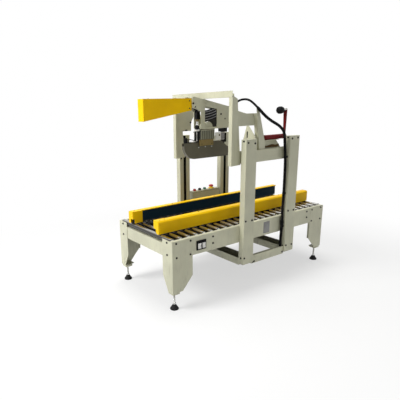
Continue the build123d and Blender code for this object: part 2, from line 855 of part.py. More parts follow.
# Arm hub: the rib and barrel behind the arm, turning on its pivot pin, with the lug the rod pushes
def arm_hub():
    half = arm_width / 2
    hub = pivot_pin / 2 + hub_wall
    lug = lug_thickness / 2
    top = arm_top - hub_neck
    rib = plate_xz(
        [(arm_root, top), (arm_root + hub_neck, top), (pivot_x + hub, pivot_z + hub_chamfer),
         (pivot_x + hub, pivot_z - hub_chamfer), (pivot_x, pivot_z - hub),
         (arm_root, pivot_z - hub + hub_neck)],
        -lug, lug)
    barrel = rod((pivot_x, -half, pivot_z), (pivot_x, half, pivot_z), 2 * hub)
    tail = plate_xz(
        [(pivot_x, pivot_z + tail_rise), (link_x, link_z + lug_boss / 2), (link_x, link_z - lug_boss / 2),
         (pivot_x, pivot_z - tail_rise)], -lug, lug)
    eye = rod((link_x, -lug, link_z), (link_x, lug, link_z), lug_boss)
    reach = clevis_width / 2
    pin = rod((link_x, -reach, link_z), (link_x, reach, link_z), link_pin)
    outside = tape_frame_half + bracket_sheet
    shaft = rod((pivot_x, -outside, pivot_z), (pivot_x, outside, pivot_z), pivot_pin)
    return rib + barrel + tail + eye + pin + shaft


# Air cylinder: barrel and cap standing on a shelf across the sled's cheeks
def arm_cylinder():
    barrel = rod((link_x, 0, sled_top + shelf_thickness), (link_x, 0, cylinder_top), cylinder_diameter)
    half = sled_width / 2
    shelf = block(shelf_front, sled_mount_front, -half, half, sled_top, sled_top + shelf_thickness)
    cap = rod((link_x, 0, cylinder_top), (link_x, 0, cylinder_cap_top), cylinder_cap)
    bore = rod((link_x, 0, cylinder_floor), (link_x, 0, cylinder_cap_top), rod_diameter + 2 * pin_clearance)
    return barrel + cap + shelf - bore


# Cylinder rod with a fork whose slotted ears take the arm's link pin
def cylinder_rod():
    half = clevis_width / 2
    front, back = link_x - clevis_front, link_x + clevis_back
    bottom = cylinder_cap_top + clevis_lift
    top = link_z + clevis_over
    bar = rod((link_x, 0, cylinder_floor + rod_end_gap), (link_x, 0, bottom), rod_diameter)
    fork = block(front, back, -half, half, bottom, top)
    room = half - clevis_ear
    gap = block(front, back, -room, room, link_z - lug_boss / 2 - clevis_ear, top)
    shift = math.hypot(lug_reach, lug_drop) - lug_reach
    slot = SlotCenterToCenter(shift, link_pin + 2 * clevis_slot_play)
    middle = (link_x + shift / 2, 0, link_z)
    hole = extrude(Plane(origin=middle, x_dir=(1, 0, 0), z_dir=(0, -1, 0)) * slot, amount=half, both=True)
    return bar + fork - gap - hole


# Lever shaft: a tube lying on the seat of the near carriage beam
def lever_shaft_tube():
    y, z = lever_y, lever_axis_z
    start, end = lever_shaft_start, lever_shaft_end
    bore = rod((end - lever_bore_depth, y, z), (end, y, z), lever_axle + 2 * pin_clearance)
    return rod((start, y, z), (end, y, z), lever_shaft) - bore


# Lock lever: a flat bar on an axle that turns in the shaft's end
def lock_lever():
    y, z = lever_y, lever_axis_z
    x = lever_shaft_end + lever_gap
    end = x + lever_thickness
    half = lever_width / 2
    tip = z + lever_length
    low = lever_foot_width / 2
    bar = plate_yz([(y - low, z), (y + low, z), (y + half, tip), (y - half, tip)], x, end)
    hub = rod((x, y, z), (end, y, z), lever_shaft)
    eye = rod((x, y, tip), (end, y, tip), lever_width)
    axle = rod((x - lever_bore_depth + rod_end_gap, y, z), (x, y, z), lever_axle)
    return bar + hub + eye + axle


# Lever grip: the round knob towards the infeed, on a neck
def lever_grip():
    x = lever_shaft_end + lever_gap
    z = lever_axis_z + lever_length
    knob_end = x - lever_neck_length
    knob = rod((knob_end - lever_knob_length, lever_y, z), (knob_end, lever_y, z), lever_knob)
    return knob + rod((knob_end, lever_y, z), (x, lever_y, z), lever_neck)


# Control box on the far side, hung by a tab bolted to the bed's side plate, its buttons on top
def control_box():
    housing = block(box_start, box_start + box_length, box_front, box_back, box_bottom, box_top)
    middle = box_start + box_length / 2
    half = box_tab_length / 2
    tab = block(middle - half, middle + half, box_front, box_front + sheet, box_tab_bottom, box_bottom)
    return housing + tab


def push_buttons():
    caps = []
    y = (box_front + box_back) / 2
    for number in range(button_count):
        x = box_start + button_inset + number * button_spacing
        caps.append(rod((x, y, box_top), (x, y, box_top + button_height), button_diameter))
    return Compound(children=caps)


# Emergency stop: a collar, a neck and a mushroom head
def emergency_stop():
    y = (box_front + box_back) / 2
    x = box_start + box_length - stop_inset
    neck_bottom = box_top + stop_collar_height
    cap_bottom = neck_bottom + stop_neck_height
    collar = rod((x, y, box_top), (x, y, neck_bottom), stop_collar)
    neck = rod((x, y, neck_bottom), (x, y, cap_bottom), stop_neck)
    cap = rod((x, y, cap_bottom), (x, y, cap_bottom + stop_cap_height), stop_diameter)
    return collar + neck + cap


def switch_plate():
    half = switch_plate_length / 2
    rise = switch_plate_height / 2
    return block(switch_plate_x - half, switch_plate_x + half, -side_face - switch_plate_thickness,
                 -side_face, switch_plate_z - rise, switch_plate_z + rise)


# Conduit: out of the near column, over the head in a low arch, then down the near outfeed post.
# Its arch is a list of points chosen by hand; a bow is how far it leaves the straight run on the post.
conduit_x = post_out_start - conduit_diameter / 2 - clip_wall
conduit_y = -side_face - post_depth / 2 + conduit_inset
conduit_head_y = -(column_outer + carriage_inner) / 2
conduit_exit = top_bar_bottom - conduit_exit_drop
conduit_route = [
    (head_front + sheet, conduit_head_y, conduit_exit),
    (head_front + column_neck - sheet, conduit_head_y, conduit_exit),
    (-232, conduit_head_y - 4, top_bar_bottom - 25),
    (-160, -430, top_bar_bottom - 31),
    (-86, -448, top_bar_bottom - 77),
    (20, -452, top_bar_bottom - 159),
    (112, -452, top_bar_bottom - 210),
    (196, -456, top_bar_bottom - 245),
    (252, -463, top_bar_bottom - 285),
    (280, conduit_y, post_top + 22),
    (286, conduit_y, 1340),
    (conduit_x - conduit_bow, conduit_y, conduit_clip_heights[0]),
    (conduit_x, conduit_y, 1030),
    (conduit_x, conduit_y, conduit_clip_heights[1]),
    (conduit_x - conduit_bow, conduit_y, 690),
    (conduit_x, conduit_y, conduit_clip_heights[2]),
    (conduit_x - 2 * conduit_bow, conduit_y, 430),
    (conduit_x - 2 * conduit_bow, conduit_y, rail_bottom + rail_height),
]


def conduit():
    points = [Vector(*point) for point in conduit_route]
    radii = []
    for before, here, after in zip(points, points[1:], points[2:]):
        turn = math.radians((here - before).get_angle(after - here))
        shorter = min((here - before).length, (after - here).length)
        radii.append(0.45 * shorter / math.tan(turn / 2))
    print("conduit radii", [round(radius) for radius in radii])
    path = FilletPolyline(*points, radius=radii)
    section = Plane(origin=path @ 0, z_dir=path % 0) * Circle(conduit_diameter / 2)
    tube = sweep(section, path=path)
    print("conduit length", round(path.length), "volume ratio",
          round(tube.volume / (path.length * math.pi * conduit_diameter ** 2 / 4), 4))
    return tube


def conduit_clips():
    clips = []
    for x, y, z in [point for point in conduit_route if point[2] in conduit_clip_heights]:
        ring = conduit_diameter / 2 + clip_wall
        body = block(x - ring, post_out_start, y - ring, y + ring, z - clip_width / 2, z + clip_width / 2)
        hole = rod((x, y, z - clip_width), (x, y, z + clip_width), conduit_diameter + clip_room)
        clips.append(body - hole)
    return Compound(children=clips)


def write(name, shape):
    export_step(shape, f"parts/{name}.step")


def pair(shape):
    """The near piece and its mirrored copy, as two solids."""
    return [shape, far_side(shape)]


def group(*shapes):
    return Compound(children=list(shapes))


def both_sides(name, shape):
    """The near piece and its mirrored copy, each in a file of its own."""
    write(f"{name}_near", shape)
    write(f"{name}_far", far_side(shape))


def main():
    os.makedirs("parts", exist_ok=True)
    write("side_plates", group(*pair(side_plate())))
    write("legs", group(*pair(leg()), *pair(outfeed_end(leg()))))
    write("end_members", group(end_member(), outfeed_end(end_member())))
    write("bed_tray", bed_tray())
    write("levelling_feet", group(*pair(foot()), *pair(outfeed_end(foot()))))
    write("rollers", group(*[roller(index) for index in range(roller_count)]))
    write("posts", group(*pair(post(post_in_start)), *pair(post(post_out_start))))
    write("base_channels", group(base_channel(post_in_start), base_channel(post_out_start)))
    write("lower_rails", group(*pair(lower_rail())))
    write("cross_rails", group(*[cross_rail_bar(x) for x in stem_places()]))
    both_sides("belt_cover", belt_cover())
    both_sides("belt_end_cap", belt_end_cap())
    both_sides("belt", belt_loop())
    both_sides("belt_pulleys", belt_pulleys())
    both_sides("belt_carrier", belt_carrier())
    write("head_columns", group(*pair(head_column())))
    write("head_side_plates", group(near_side_plate(), far_side_plate()))
    write("head_struts", group(*pair(head_strut())))
    write("head_gussets", group(*pair(head_gusset())))
    write("carriage_beams", group(*pair(carriage_beam())))
    write("guide_blocks", group(*guide_blocks()))
    write("head_top_bar", head_top_bar())
    write("tape_frame", group(*pair(tape_frame_plate())))
    write("tape_cartridge", tape_cartridge())
    write("tape_roll", tape_roll())
    write("fold_sled", fold_sled())
    write("sled_mount", sled_mount())
    write("sled_hanger", sled_hanger())
    write("rear_arm", rear_arm())
    write("arm_brackets", group(*pair(arm_bracket_plate())))
    write("arm_cylinder", arm_cylinder())
    write("cylinder_rod", cylinder_rod())
    write("flap_arm", flap_arm())
    write("arm_hub", arm_hub())
    write("lever_shaft", lever_shaft_tube())
    write("lock_lever", lock_lever())
    write("lever_grip", lever_grip())
    write("control_box", control_box())
    write("push_buttons", push_buttons())
    write("emergency_stop", emergency_stop())
    write("switch_plate", switch_plate())
    write("conduit", conduit())
    write("conduit_clips", conduit_clips())


main()
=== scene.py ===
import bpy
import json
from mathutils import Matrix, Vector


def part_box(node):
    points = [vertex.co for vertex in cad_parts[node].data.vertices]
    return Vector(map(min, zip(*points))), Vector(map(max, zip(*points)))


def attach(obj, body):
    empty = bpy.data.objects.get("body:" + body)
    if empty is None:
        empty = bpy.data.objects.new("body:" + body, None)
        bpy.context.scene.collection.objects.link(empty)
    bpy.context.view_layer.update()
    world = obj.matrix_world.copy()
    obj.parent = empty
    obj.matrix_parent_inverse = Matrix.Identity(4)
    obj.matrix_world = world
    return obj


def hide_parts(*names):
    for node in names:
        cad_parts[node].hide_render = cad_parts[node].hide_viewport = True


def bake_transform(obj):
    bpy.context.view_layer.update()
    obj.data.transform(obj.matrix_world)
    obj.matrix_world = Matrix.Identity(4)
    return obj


bl_info = {
    "name": "Side-belt carton sealing machine",
    "version": (1, 0, 0),
    "blender": (4, 5, 0),
    "location": "View3D > Sidebar > Carton sealer",
    "description": "Builds the looks of a side-belt carton sealing machine around its packed frame",
    "category": "Add Mesh",
}

import json
import math

import bpy
import numpy as np
from bpy.props import FloatProperty, FloatVectorProperty, IntProperty, PointerProperty
from mathutils import Matrix

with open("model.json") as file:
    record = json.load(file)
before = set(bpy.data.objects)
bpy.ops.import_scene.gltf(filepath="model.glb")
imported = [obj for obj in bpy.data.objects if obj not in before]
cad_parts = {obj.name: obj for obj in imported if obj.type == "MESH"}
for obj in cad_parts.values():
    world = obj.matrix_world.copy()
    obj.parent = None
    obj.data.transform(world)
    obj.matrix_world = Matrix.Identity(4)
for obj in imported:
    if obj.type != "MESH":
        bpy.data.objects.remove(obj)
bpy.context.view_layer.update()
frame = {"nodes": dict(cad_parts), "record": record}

TURN = 2 * math.pi


# Sizes and colours a user would change


def colour(label, text, default):
    return FloatVectorProperty(
        name=label, description=text, subtype="COLOR", size=3, min=0, max=1, default=default)


def length(label, text, default):
    return FloatProperty(name=label, description=text, unit="LENGTH", min=0.0001, default=default)


class SealerPaint(bpy.types.PropertyGroup):
    """The colours of the machine's finishes"""

    cream: colour("Frame paint", "Pale enamel of the bed, posts and head", (0.56, 0.555, 0.408))
    yellow: colour("Guard paint", "Enamel of the belt covers and the flap arm", (0.98, 0.585, 0.001))
    olive: colour("Sled paint", "Dark coating of the fold sled", (0.105, 0.098, 0.066))
    ribbed: colour("Cartridge coating", "Grey green coating of the tape cartridge", (0.27, 0.28, 0.21))
    maroon: colour("Lever paint", "Dark red of the lever and its shaft", (0.14, 0.007, 0.008))
    belt: colour("Belt rubber", "Outer face of the side belts", (0.003, 0.016, 0.027))
    black: colour("Black plastic", "Knob, conduit and cylinder", (0.004, 0.004, 0.0045))
    steel: colour("Roller steel", "Zinc plated rollers and bare parts", (0.5, 0.49, 0.46))
    grime: colour("Grime", "Dust and oil that settles on the machine", (0.19, 0.16, 0.11))


class SealerSizes(bpy.types.PropertyGroup):
    """The sizes of the small parts that are added to the frame"""

    bolt: length("Bolt", "Width of a hexagon bolt head", 0.013)
    ring_pitch: length("Conduit ring pitch", "Distance between two rings of the conduit", 0.0042)
    conduit: length("Conduit diameter", "Outside diameter of the conduit", 0.026)
    segments: IntProperty(name="Segments", description="Facets round a roller", min=12, max=64, default=32)


# Shader maths


class Val:
    """One output of a node. Arithmetic on it adds Math nodes."""

    def __init__(self, nodes, node, output=0):
        self.nodes = nodes
        self.node = node
        self.output = output

    @property
    def socket(self):
        return self.node.outputs[self.output]

    def other(self, output):
        """Another output of the same node."""
        return Val(self.nodes, self.node, output)

    def _math(self, operation, a, b=0.0):
        return self.nodes.add("ShaderNodeMath", {"operation": operation}, {0: a, 1: b})

    def __add__(self, other):
        return self._math("ADD", self, other)

    __radd__ = __add__

    def __sub__(self, other):
        return self._math("SUBTRACT", self, other)

    def __rsub__(self, other):
        return self._math("SUBTRACT", other, self)

    def __mul__(self, other):
        return self._math("MULTIPLY", self, other)

    __rmul__ = __mul__

    def __or__(self, other):
        """The greater of two values, which for masks means either of them."""
        return self._math("MAXIMUM", self, other)

    def power(self, exponent):
        return self._math("POWER", self, exponent)

    def wave(self):
        return self._math("SINE", self)

    def above(self, low, high):
        """0 below low, 1 above high, and a smooth step between."""
        settings = {"interpolation_type": "SMOOTHSTEP"}
        return self.nodes.add("ShaderNodeMapRange", settings, {0: self, 1: low, 2: high, 3: 0.0, 4: 1.0})


class Nodes:
    """The node tree of a material or of the world. Each of its nodes comes from add."""

    def __init__(self, tree):
        self.tree = tree
        tree.nodes.clear()

    def add(self, kind, settings=None, values=None, output=0):
        """A node of this kind: its settings are made first, then the values or links of its sockets."""
        made = self.tree.nodes.new(kind)
        for key, value in (settings or {}).items():
            setattr(made, key, value)
        for key, value in (values or {}).items():
            self.feed(made.inputs[key], value)
        return Val(self, made, output)

    def feed(self, socket, value):
        """Links a node's output to a socket or sets its plain value, with a colour's alpha at 1."""
        if isinstance(value, Val):
            self.tree.links.new(value.socket, socket)
        elif socket.type == "RGBA":
            socket.default_value = (*value, 1.0)
        else:
            socket.default_value = value


class Look(Nodes):
    """One material: a Principled shader and the nodes that vary it over Object coordinates."""

    def __init__(self, name):
        self.material = bpy.data.materials.new(name)
        self.material.use_nodes = True
        super().__init__(self.material.node_tree)
        self.shader = self.add("ShaderNodeBsdfPrincipled")
        self.out = self.add("ShaderNodeOutputMaterial", None, {0: self.shader})
        self.place = self.add("ShaderNodeTexCoord", output="Object")
        parts = self.add("ShaderNodeSeparateXYZ", None, {0: self.place})
        self.x, self.y, self.z = (parts.other(axis) for axis in range(3))
        facing = self.add("ShaderNodeNewGeometry", output="Normal")
        self.up = self.add("ShaderNodeSeparateXYZ", None, {0: facing}, output=2)

    def stretched(self, scale):
        return self.add("ShaderNodeMapping", None, {"Vector": self.place, "Scale": scale})

    def noise(self, scale, detail=3.0, rough=0.55, where=None):
        values = {"Vector": where or self.place, "Scale": scale, "Detail": detail, "Roughness": rough}
        return self.add("ShaderNodeTexNoise", None, values)

    def cells(self, scale):
        """Distance from the middle of the nearest of many scattered cells."""
        return self.add("ShaderNodeTexVoronoi", {"feature": "F1"}, {"Vector": self.place, "Scale": scale})

    def blend(self, factor, low, high):
        settings = {"data_type": "RGBA", "clamp_factor": True}
        return self.add("ShaderNodeMix", settings, {0: factor, 6: low, 7: high}, output=2)

    def bump(self, height, strength, distance):
        values = {"Height": height, "Strength": strength, "Distance": distance}
        self.finish(Normal=self.add("ShaderNodeBump", None, values))

    def finish(self, **sockets):
        for key, value in sockets.items():
            self.feed(self.shader.node.inputs[key.replace("_", " ")], value)


# Finishes


PRIMER = (0.17, 0.165, 0.15)
PALE_DUST = (0.16, 0.16, 0.15)
FINGER_MARKS = (0.3, 0.29, 0.27)
# black of the painted shade and oil on the rollers' flanks
FLANK_SHADE_BLACK = (0.012, 0.011, 0.009)
WOUND_DARK, WOUND_LIGHT, WOUND_GAP = (0.018, 0.017, 0.015), (0.06, 0.056, 0.045), (0.012, 0.011, 0.01)


def shade(rgb, factor):
    return tuple(min(1.0, channel * factor) for channel in rgb)


def enamel(name, rgb, grime, chip=0.5, gloss=0.38, soil=1.0, shine=0.5):
    """Sprayed enamel on sheet steel: orange peel, faint cloudiness, dust on top faces, oily smears,
    fine handling scratches and a few chips down to grey primer."""
    look = Look(name)
    cloud = look.noise(3.2, 4.0)
    fine = look.noise(38.0, 5.0, 0.65)
    base = look.blend(cloud.above(0.35, 0.7), shade(rgb, 0.9), shade(rgb, 1.06))
    streaks = look.noise(9.0, 4.0, 0.6, look.stretched((6.0, 6.0, 0.7)))
    low = 1.0 - look.z.above(0.15, 0.75)
    smears = streaks.above(0.52, 0.78) * 0.35 + fine.above(0.62, 0.82) * 0.3
    dirt = smears * (low * 0.8 + 0.35) * soil
    dust = look.up.above(0.6, 0.95) * look.noise(14.0, 4.0).above(0.4, 0.75) * 0.28 * soil
    base = look.blend(dirt + dust, base, grime)
    scratch = look.noise(60.0, 2.0, 0.5, look.stretched((0.35, 0.35, 7.0))).above(0.69, 0.73)
    marks = scratch * look.noise(5.0, 2.0).above(0.5, 0.6)
    chips = look.cells(46.0).above(0.02, 0.09)
    bare = (1.0 - chips) * look.noise(6.5, 2.0).above(0.6, 0.66) * chip
    base = look.blend(marks * 0.3, base, shade(rgb, 1.25))
    look.finish(Base_Color=look.blend(bare, base, PRIMER))
    look.finish(Roughness=gloss + cloud * 0.1 + dirt * 0.45 + dust * 0.6 + marks * 0.12)
    look.finish(Specular_IOR_Level=shine, Coat_Weight=0.24 * shine, Coat_Roughness=0.22)
    peel = look.noise(420.0, 2.0) * 0.25 + look.noise(120.0, 2.0) * 0.35
    look.bump(peel - bare * 1.6 - marks * 0.3, 0.25, 0.0006)
    return look.material


def bare_steel(name, rgb, grime, along="Z", rough=0.3, soil=0.5, flank_shade=0.0):
    """Zinc plated or bare steel: brushed along one axis, dull spots, a film of dust and rubbed bands.
    Painted shade and oil blacken what doesn't face up: the rollers' flanks and undersides stay dark as in
    shade, as on rollers that only the cartons' bottoms wipe clean."""
    look = Look(name)
    stretch = tuple(1.0 if axis == along else 90.0 for axis in "XYZ")
    brush = look.noise(5.0, 4.0, 0.7, look.stretched(stretch))
    spots = look.noise(24.0, 4.0, 0.65)
    film = look.noise(6.0, 3.0).above(0.4, 0.75) * soil
    base = look.blend(brush, shade(rgb, 0.78), shade(rgb, 1.12))
    base = look.blend(spots.above(0.55, 0.8) * 0.35, base, shade(rgb, 0.5))
    base = look.blend(film * 0.5, base, grime)
    # painted shade and oil: faces turned away from up are blackened
    if flank_shade:
        base = look.blend((1.0 - look.up.above(0.45, 0.9)) * flank_shade, base, FLANK_SHADE_BLACK)
    look.finish(Base_Color=base)
    look.finish(Metallic=1.0 - film * 0.45, Roughness=rough + brush * 0.14 + film * 0.25)
    look.bump(brush * 0.4 + spots * 0.2, 0.18, 0.0004)
    return look.material


def rubber(name, rgb, dust=0.3, rough=0.62, weave=0.0, shine=0.25):
    """Rubber: matt, with a fine grain, pale scuffs and dust; a belt's face also shows its pressed weave."""
    look = Look(name)
    grain = look.noise(260.0, 3.0)
    scuff = look.noise(7.0, 4.0, 0.6, look.stretched((0.3, 3.0, 2.5)))
    film = scuff.above(0.5, 0.78) * dust
    base = look.blend(grain, shade(rgb, 0.8), shade(rgb, 1.5))
    look.finish(Base_Color=look.blend(film, base, PALE_DUST))
    look.finish(Roughness=rough + film * 0.2 + grain * 0.08, Specular_IOR_Level=shine)
    height = grain * 0.5
    if weave:
        height = height + (look.x * weave).wave() * (look.z * weave).wave() * 0.6
    look.bump(height, 0.3, 0.0005)
    return look.material


def plastic(name, rgb, rough=0.35, coat=0.2, shine=0.5):
    """Moulded plastic: fine texture, slight colour drift and fingerprints."""
    look = Look(name)
    prints = look.noise(30.0, 3.0).above(0.45, 0.75)
    drift = look.noise(8.0, 2.0)
    base = look.blend(drift, shade(rgb, 0.85), shade(rgb, 1.2))
    look.finish(Base_Color=look.blend(prints * 0.04, base, FINGER_MARKS), Specular_IOR_Level=shine)
    look.finish(Roughness=rough + prints * 0.14, Coat_Weight=coat, Coat_Roughness=0.25)
    look.bump(look.noise(300.0, 2.0), 0.15, 0.0003)
    return look.material


def film_roll(name):
    """A wound roll of tape seen on its ends: fine concentric layers about the roll's own axis,
    sin(5200 r) of the distance r from it."""
    look = Look(name)
    low, high = box_of("tape_roll")
    middle = (low + high) / 2
    across, rise = look.x - float(middle[0]), look.z - float(middle[2])
    radius = (across * across + rise * rise).power(0.5)
    rings = (radius * 5200.0).wave() * 0.5 + 0.5
    bands = look.noise(60.0, 3.0, 0.6, look.add("ShaderNodeCombineXYZ", None, {0: radius}))
    base = look.blend(bands, WOUND_DARK, WOUND_LIGHT)
    look.finish(Base_Color=look.blend(rings * 0.3, base, WOUND_GAP))
    look.finish(Roughness=0.35 + bands * 0.2, Specular_IOR_Level=0.15)
    look.bump(rings, 0.2, 0.0003)
    return look.material


LOOKS = {}


def make_looks(paint):
    """Fills the table of finishes. Its keys are the record's material slots and the pieces' own looks."""
    grime, black = paint.grime, paint.black
    LOOKS.update(
        frame_paint=enamel("cream_enamel", paint.cream, grime),
        yellow_paint=enamel(
            "yellow_enamel", paint.yellow, grime, chip=0.7, gloss=0.36, soil=0.22, shine=0.1),
        sled_paint=enamel(
            "olive_coating", paint.olive, grime, chip=0.9, gloss=0.36, soil=0.8, shine=0.35),
        cartridge=enamel(
            "grey_green_coating", paint.ribbed, grime, chip=0.6, gloss=0.45, soil=0.6, shine=0.35),
        lever_paint=enamel(
            "maroon_enamel", paint.maroon, grime, chip=0.6, gloss=0.36, soil=0.2, shine=0.1),
        roller_steel=bare_steel(
            "roller_zinc", paint.steel, grime, along="Y", rough=0.13, soil=0.3, flank_shade=0.85),
        bright_steel=bare_steel("bright_steel", (0.66, 0.66, 0.65), grime, rough=0.14, soil=0.2),
        bearing=bare_steel("bearing_steel", (0.75, 0.75, 0.73), grime, rough=0.16, soil=0.15),
        fastener=bare_steel(
            "fastener_steel", (0.045, 0.043, 0.04), shade(grime, 0.15), rough=0.45, soil=0.4),
        plate=bare_steel(
            "bare_plate", (0.25, 0.25, 0.245), shade(grime, 0.4), along="X", rough=0.45, soil=0.6),
        belt_rubber=rubber("belt_rubber", paint.belt, dust=0.07, rough=0.6, weave=1900.0, shine=0.1),
        foot_rubber=rubber("foot_rubber", black, dust=0.35),
        # the tray's black is painted shade: it stands in for the shade seen down between the rollers
        tray=rubber("black_tray_painted_shade", black, dust=0.05, rough=0.85, shine=0.05),
        rust=rubber("rust", (0.13, 0.08, 0.035), rough=0.8, shine=0.1),
        tape_film=film_roll("wound_tape"),
        cylinder_body=plastic("black_anodised", black, rough=0.42, coat=0.02, shine=0.15),
        black_plastic=plastic("black_plastic", black, rough=0.5, coat=0.0, shine=0.08),
        white_plastic=plastic("white_plastic", (0.82, 0.81, 0.77)),
        button_plastic=plastic("red_plastic", (0.42, 0.01, 0.012), rough=0.3, coat=0.1, shine=0.3),
        green_plastic=plastic("green_plastic", (0.005, 0.13, 0.07), rough=0.3, coat=0.1, shine=0.3),
        yellow_plastic=plastic("yellow_plastic", (0.85, 0.55, 0.02), rough=0.3, coat=0.3),
        ochre_plastic=plastic("ochre_plastic", (0.2, 0.145, 0.045), coat=0.1, shine=0.4),
    )


# Meshes worked out with numpy


def solid(name, shapes, look, body, smooth=40.0, replaces=()):
    """One object from (points, faces) pairs put end to end. Edges over the smooth angle stay sharp."""
    points, faces, count = [], [], 0
    for piece_points, piece_faces in shapes:
        points.append(piece_points)
        faces += [[corner + count for corner in face] for face in piece_faces]
        count += len(piece_points)
    mesh = bpy.data.meshes.new(name)
    mesh.from_pydata(np.concatenate(points).tolist(), [], faces)
    mesh.validate()
    made = bpy.data.objects.new(name, mesh)
    bpy.context.scene.collection.objects.link(made)
    mesh.shade_smooth()
    mesh.set_sharp_from_angle(angle=math.radians(smooth))
    mesh.materials.append(LOOKS[look])
    if body:
        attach(made, body)
    if replaces:
        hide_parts(*replaces)
    return made


def ring_faces(rings, around):
    """Quads between rings of points: ring i, point j joins ring i + 1 and point j + 1, closed around."""
    i, j = np.meshgrid(np.arange(rings - 1), np.arange(around), indexing="ij")
    k = (j + 1) % around
    quads = np.stack([i * around + j, i * around + k, (i + 1) * around + k, (i + 1) * around + j], axis=-1)
    return quads.reshape(-1, 4)


def signed_volume(a, b, c):
    """Six times the volume between the origin and triangles: the sum of a . (b x c)."""
    return np.einsum("ij,ij->", a, np.cross(b, c))


def closed(rings):
    """A stack of equal rings (rows, around, 3) with an end face on the first and last ring.
    Where the volume inside comes out below zero, all faces are turned round to point outwards."""
    rows, around = rings.shape[:2]
    points = rings.reshape(-1, 3)
    quads = ring_faces(rows, around)
    ends = [np.arange(around)[::-1], np.arange((rows - 1) * around, rows * around)]
    a, b, c, d = (points[quads[:, corner]] for corner in range(4))
    volume = signed_volume(a, b, c) + signed_volume(a, c, d)
    for end in ends:
        p = points[end]
        volume += signed_volume(np.repeat(p[:1], around - 2, 0), p[1:-1], p[2:])
    faces = quads.tolist() + [end.tolist() for end in ends]
    if volume < 0:
        faces = [face[::-1] for face in faces]
    return points, faces


def basis(axis):
    """Two unit vectors square to an axis and to each other."""
    axis = np.array(axis, float) / np.linalg.norm(axis)
    helper = np.array([0.0, 0.0, 1.0]) if abs(axis[2]) < 0.9 else np.array([1.0, 0.0, 0.0])
    side = np.cross(helper, axis)
    side /= np.linalg.norm(side)
    return side, np.cross(axis, side), axis


def lathe(profile, base, axis, around=24):
    """A turned shape: radius r at distance s along the axis, carried round:
    base + s * axis + r * (cos a * side + sin a * rise)."""
    side, rise, axis = basis(axis)
    profile = np.array(profile, float)
    angle = np.arange(around) / around * TURN
    spoke = np.cos(angle)[:, None] * side + np.sin(angle)[:, None] * rise
    rings = profile[:, 0, None, None] * spoke + profile[:, 1, None, None] * axis + np.array(base, float)
    return closed(rings)


def inset(outline, distance):
    """An outline moved inwards: each corner goes along its two edges' normals, to their mitre."""
    points = np.array(outline, float)
    after = np.roll(points, -1, 0) - points
    after /= np.linalg.norm(after, axis=1)[:, None]
    area = np.sum(points[:, 0] * np.roll(points[:, 1], -1) - np.roll(points[:, 0], -1) * points[:, 1])
    normal = np.stack([-after[:, 1], after[:, 0]], 1) * np.sign(area)
    mitre = normal + np.roll(normal, 1, 0)
    mitre /= np.maximum(0.25, np.einsum("ij,ij->i", mitre, normal))[:, None]
    return points + mitre * distance


def plate(outline, low, high, plane="XZ", bevel=0.0008):
    """A flat plate with bevelled edges: the outline inset by the bevel on both faces,
    full size in between, carried from low to high along the plane's normal."""
    low, high = sorted((low, high))
    bevel = min(bevel, (high - low) * 0.3)
    levels = ((bevel, low), (0.0, low + bevel), (0.0, high - bevel), (bevel, high))
    normal = {"XZ": 1, "XY": 2}[plane]
    rings = [np.insert(inset(outline, distance), normal, at, axis=1) for distance, at in levels]
    return closed(np.array(rings))


def rectangle(across, up):
    """Four corners from two places across and two places up."""
    return [(across[0], up[0]), (across[1], up[0]), (across[1], up[1]), (across[0], up[1])]


def slab(corner, opposite, bevel=0.0012):
    """A box with bevelled edges between two opposite corners."""
    x, y, z = zip(np.minimum(corner, opposite), np.maximum(corner, opposite))
    return plate(rectangle(x, y), *z, "XY", bevel)


def oval(centre, width, height):
    """Points round a rounded slot: a superellipse |x/a|^n + |y/b|^n = 1 with n near 4."""
    angle = np.arange(20) / 20 * TURN
    x = np.sign(np.cos(angle)) * np.abs(np.cos(angle)) ** 0.5 * width / 2
    y = np.sign(np.sin(angle)) * np.abs(np.sin(angle)) ** 0.5 * height / 2
    return np.stack([centre[0] + x, centre[1] + y], 1)


def pipe(route, radius, around):
    """A bar along a route that never runs along Y: at each point p of the route the ring
    p + r * (cos a * side + sin a * rise), where side is the Y axis less its part along the route,
    and rise is square to both. The radius is one value, or one for each point."""
    route = np.array(route, float)
    tangent = np.gradient(route, axis=0)
    tangent /= np.linalg.norm(tangent, axis=1)[:, None]
    side = np.array([0.0, 1.0, 0.0]) - tangent[:, 1:2] * tangent
    side /= np.linalg.norm(side, axis=1)[:, None]
    rise = np.cross(tangent, side)
    angle = np.arange(around)[:, None] / around * TURN
    spoke = np.cos(angle) * side[:, None] + np.sin(angle) * rise[:, None]
    return closed(route[:, None] + np.broadcast_to(radius, len(route))[:, None, None] * spoke)


def bolt(at, axis, width):
    """A hexagon head with a chamfered top on a thin round washer, standing on a face."""
    w = width / 2
    head = [(w, 0.0012), (w * 1.12, 0.0016), (w * 1.12, w * 0.95), (w * 0.95, w * 1.15)]
    washer = [(w * 1.45, 0.0), (w * 1.45, 0.0012), (w * 1.35, 0.0016)]
    return [lathe(washer, at, axis, 20), lathe(head, at, axis, 6)]


def screw(at, axis, width):
    """A pan head screw: a low dome with a recessed middle."""
    w = width / 2
    dome = [(w, 0.0), (w, w * 0.35), (w * 0.8, w * 0.62), (w * 0.45, w * 0.72), (w * 0.36, w * 0.3)]
    return [lathe(dome, at, axis, 16)]


def fixings(shape, places, axis, width):
    """Equal bolts or screws on a list of places."""
    return [piece for at in places for piece in shape(at, axis, width)]


def moved(places, x=0.0, z=0.0, sides=(1, 1)):
    """Places mirrored in X and Y by two signs, then moved along X and up."""
    return [(x + sides[0] * a, sides[1] * b, z + c) for a, b, c in places]


def box_of(node):
    """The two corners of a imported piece's box, as arrays."""
    return tuple(np.array(corner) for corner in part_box(node))


# Pieces, one operator for each group


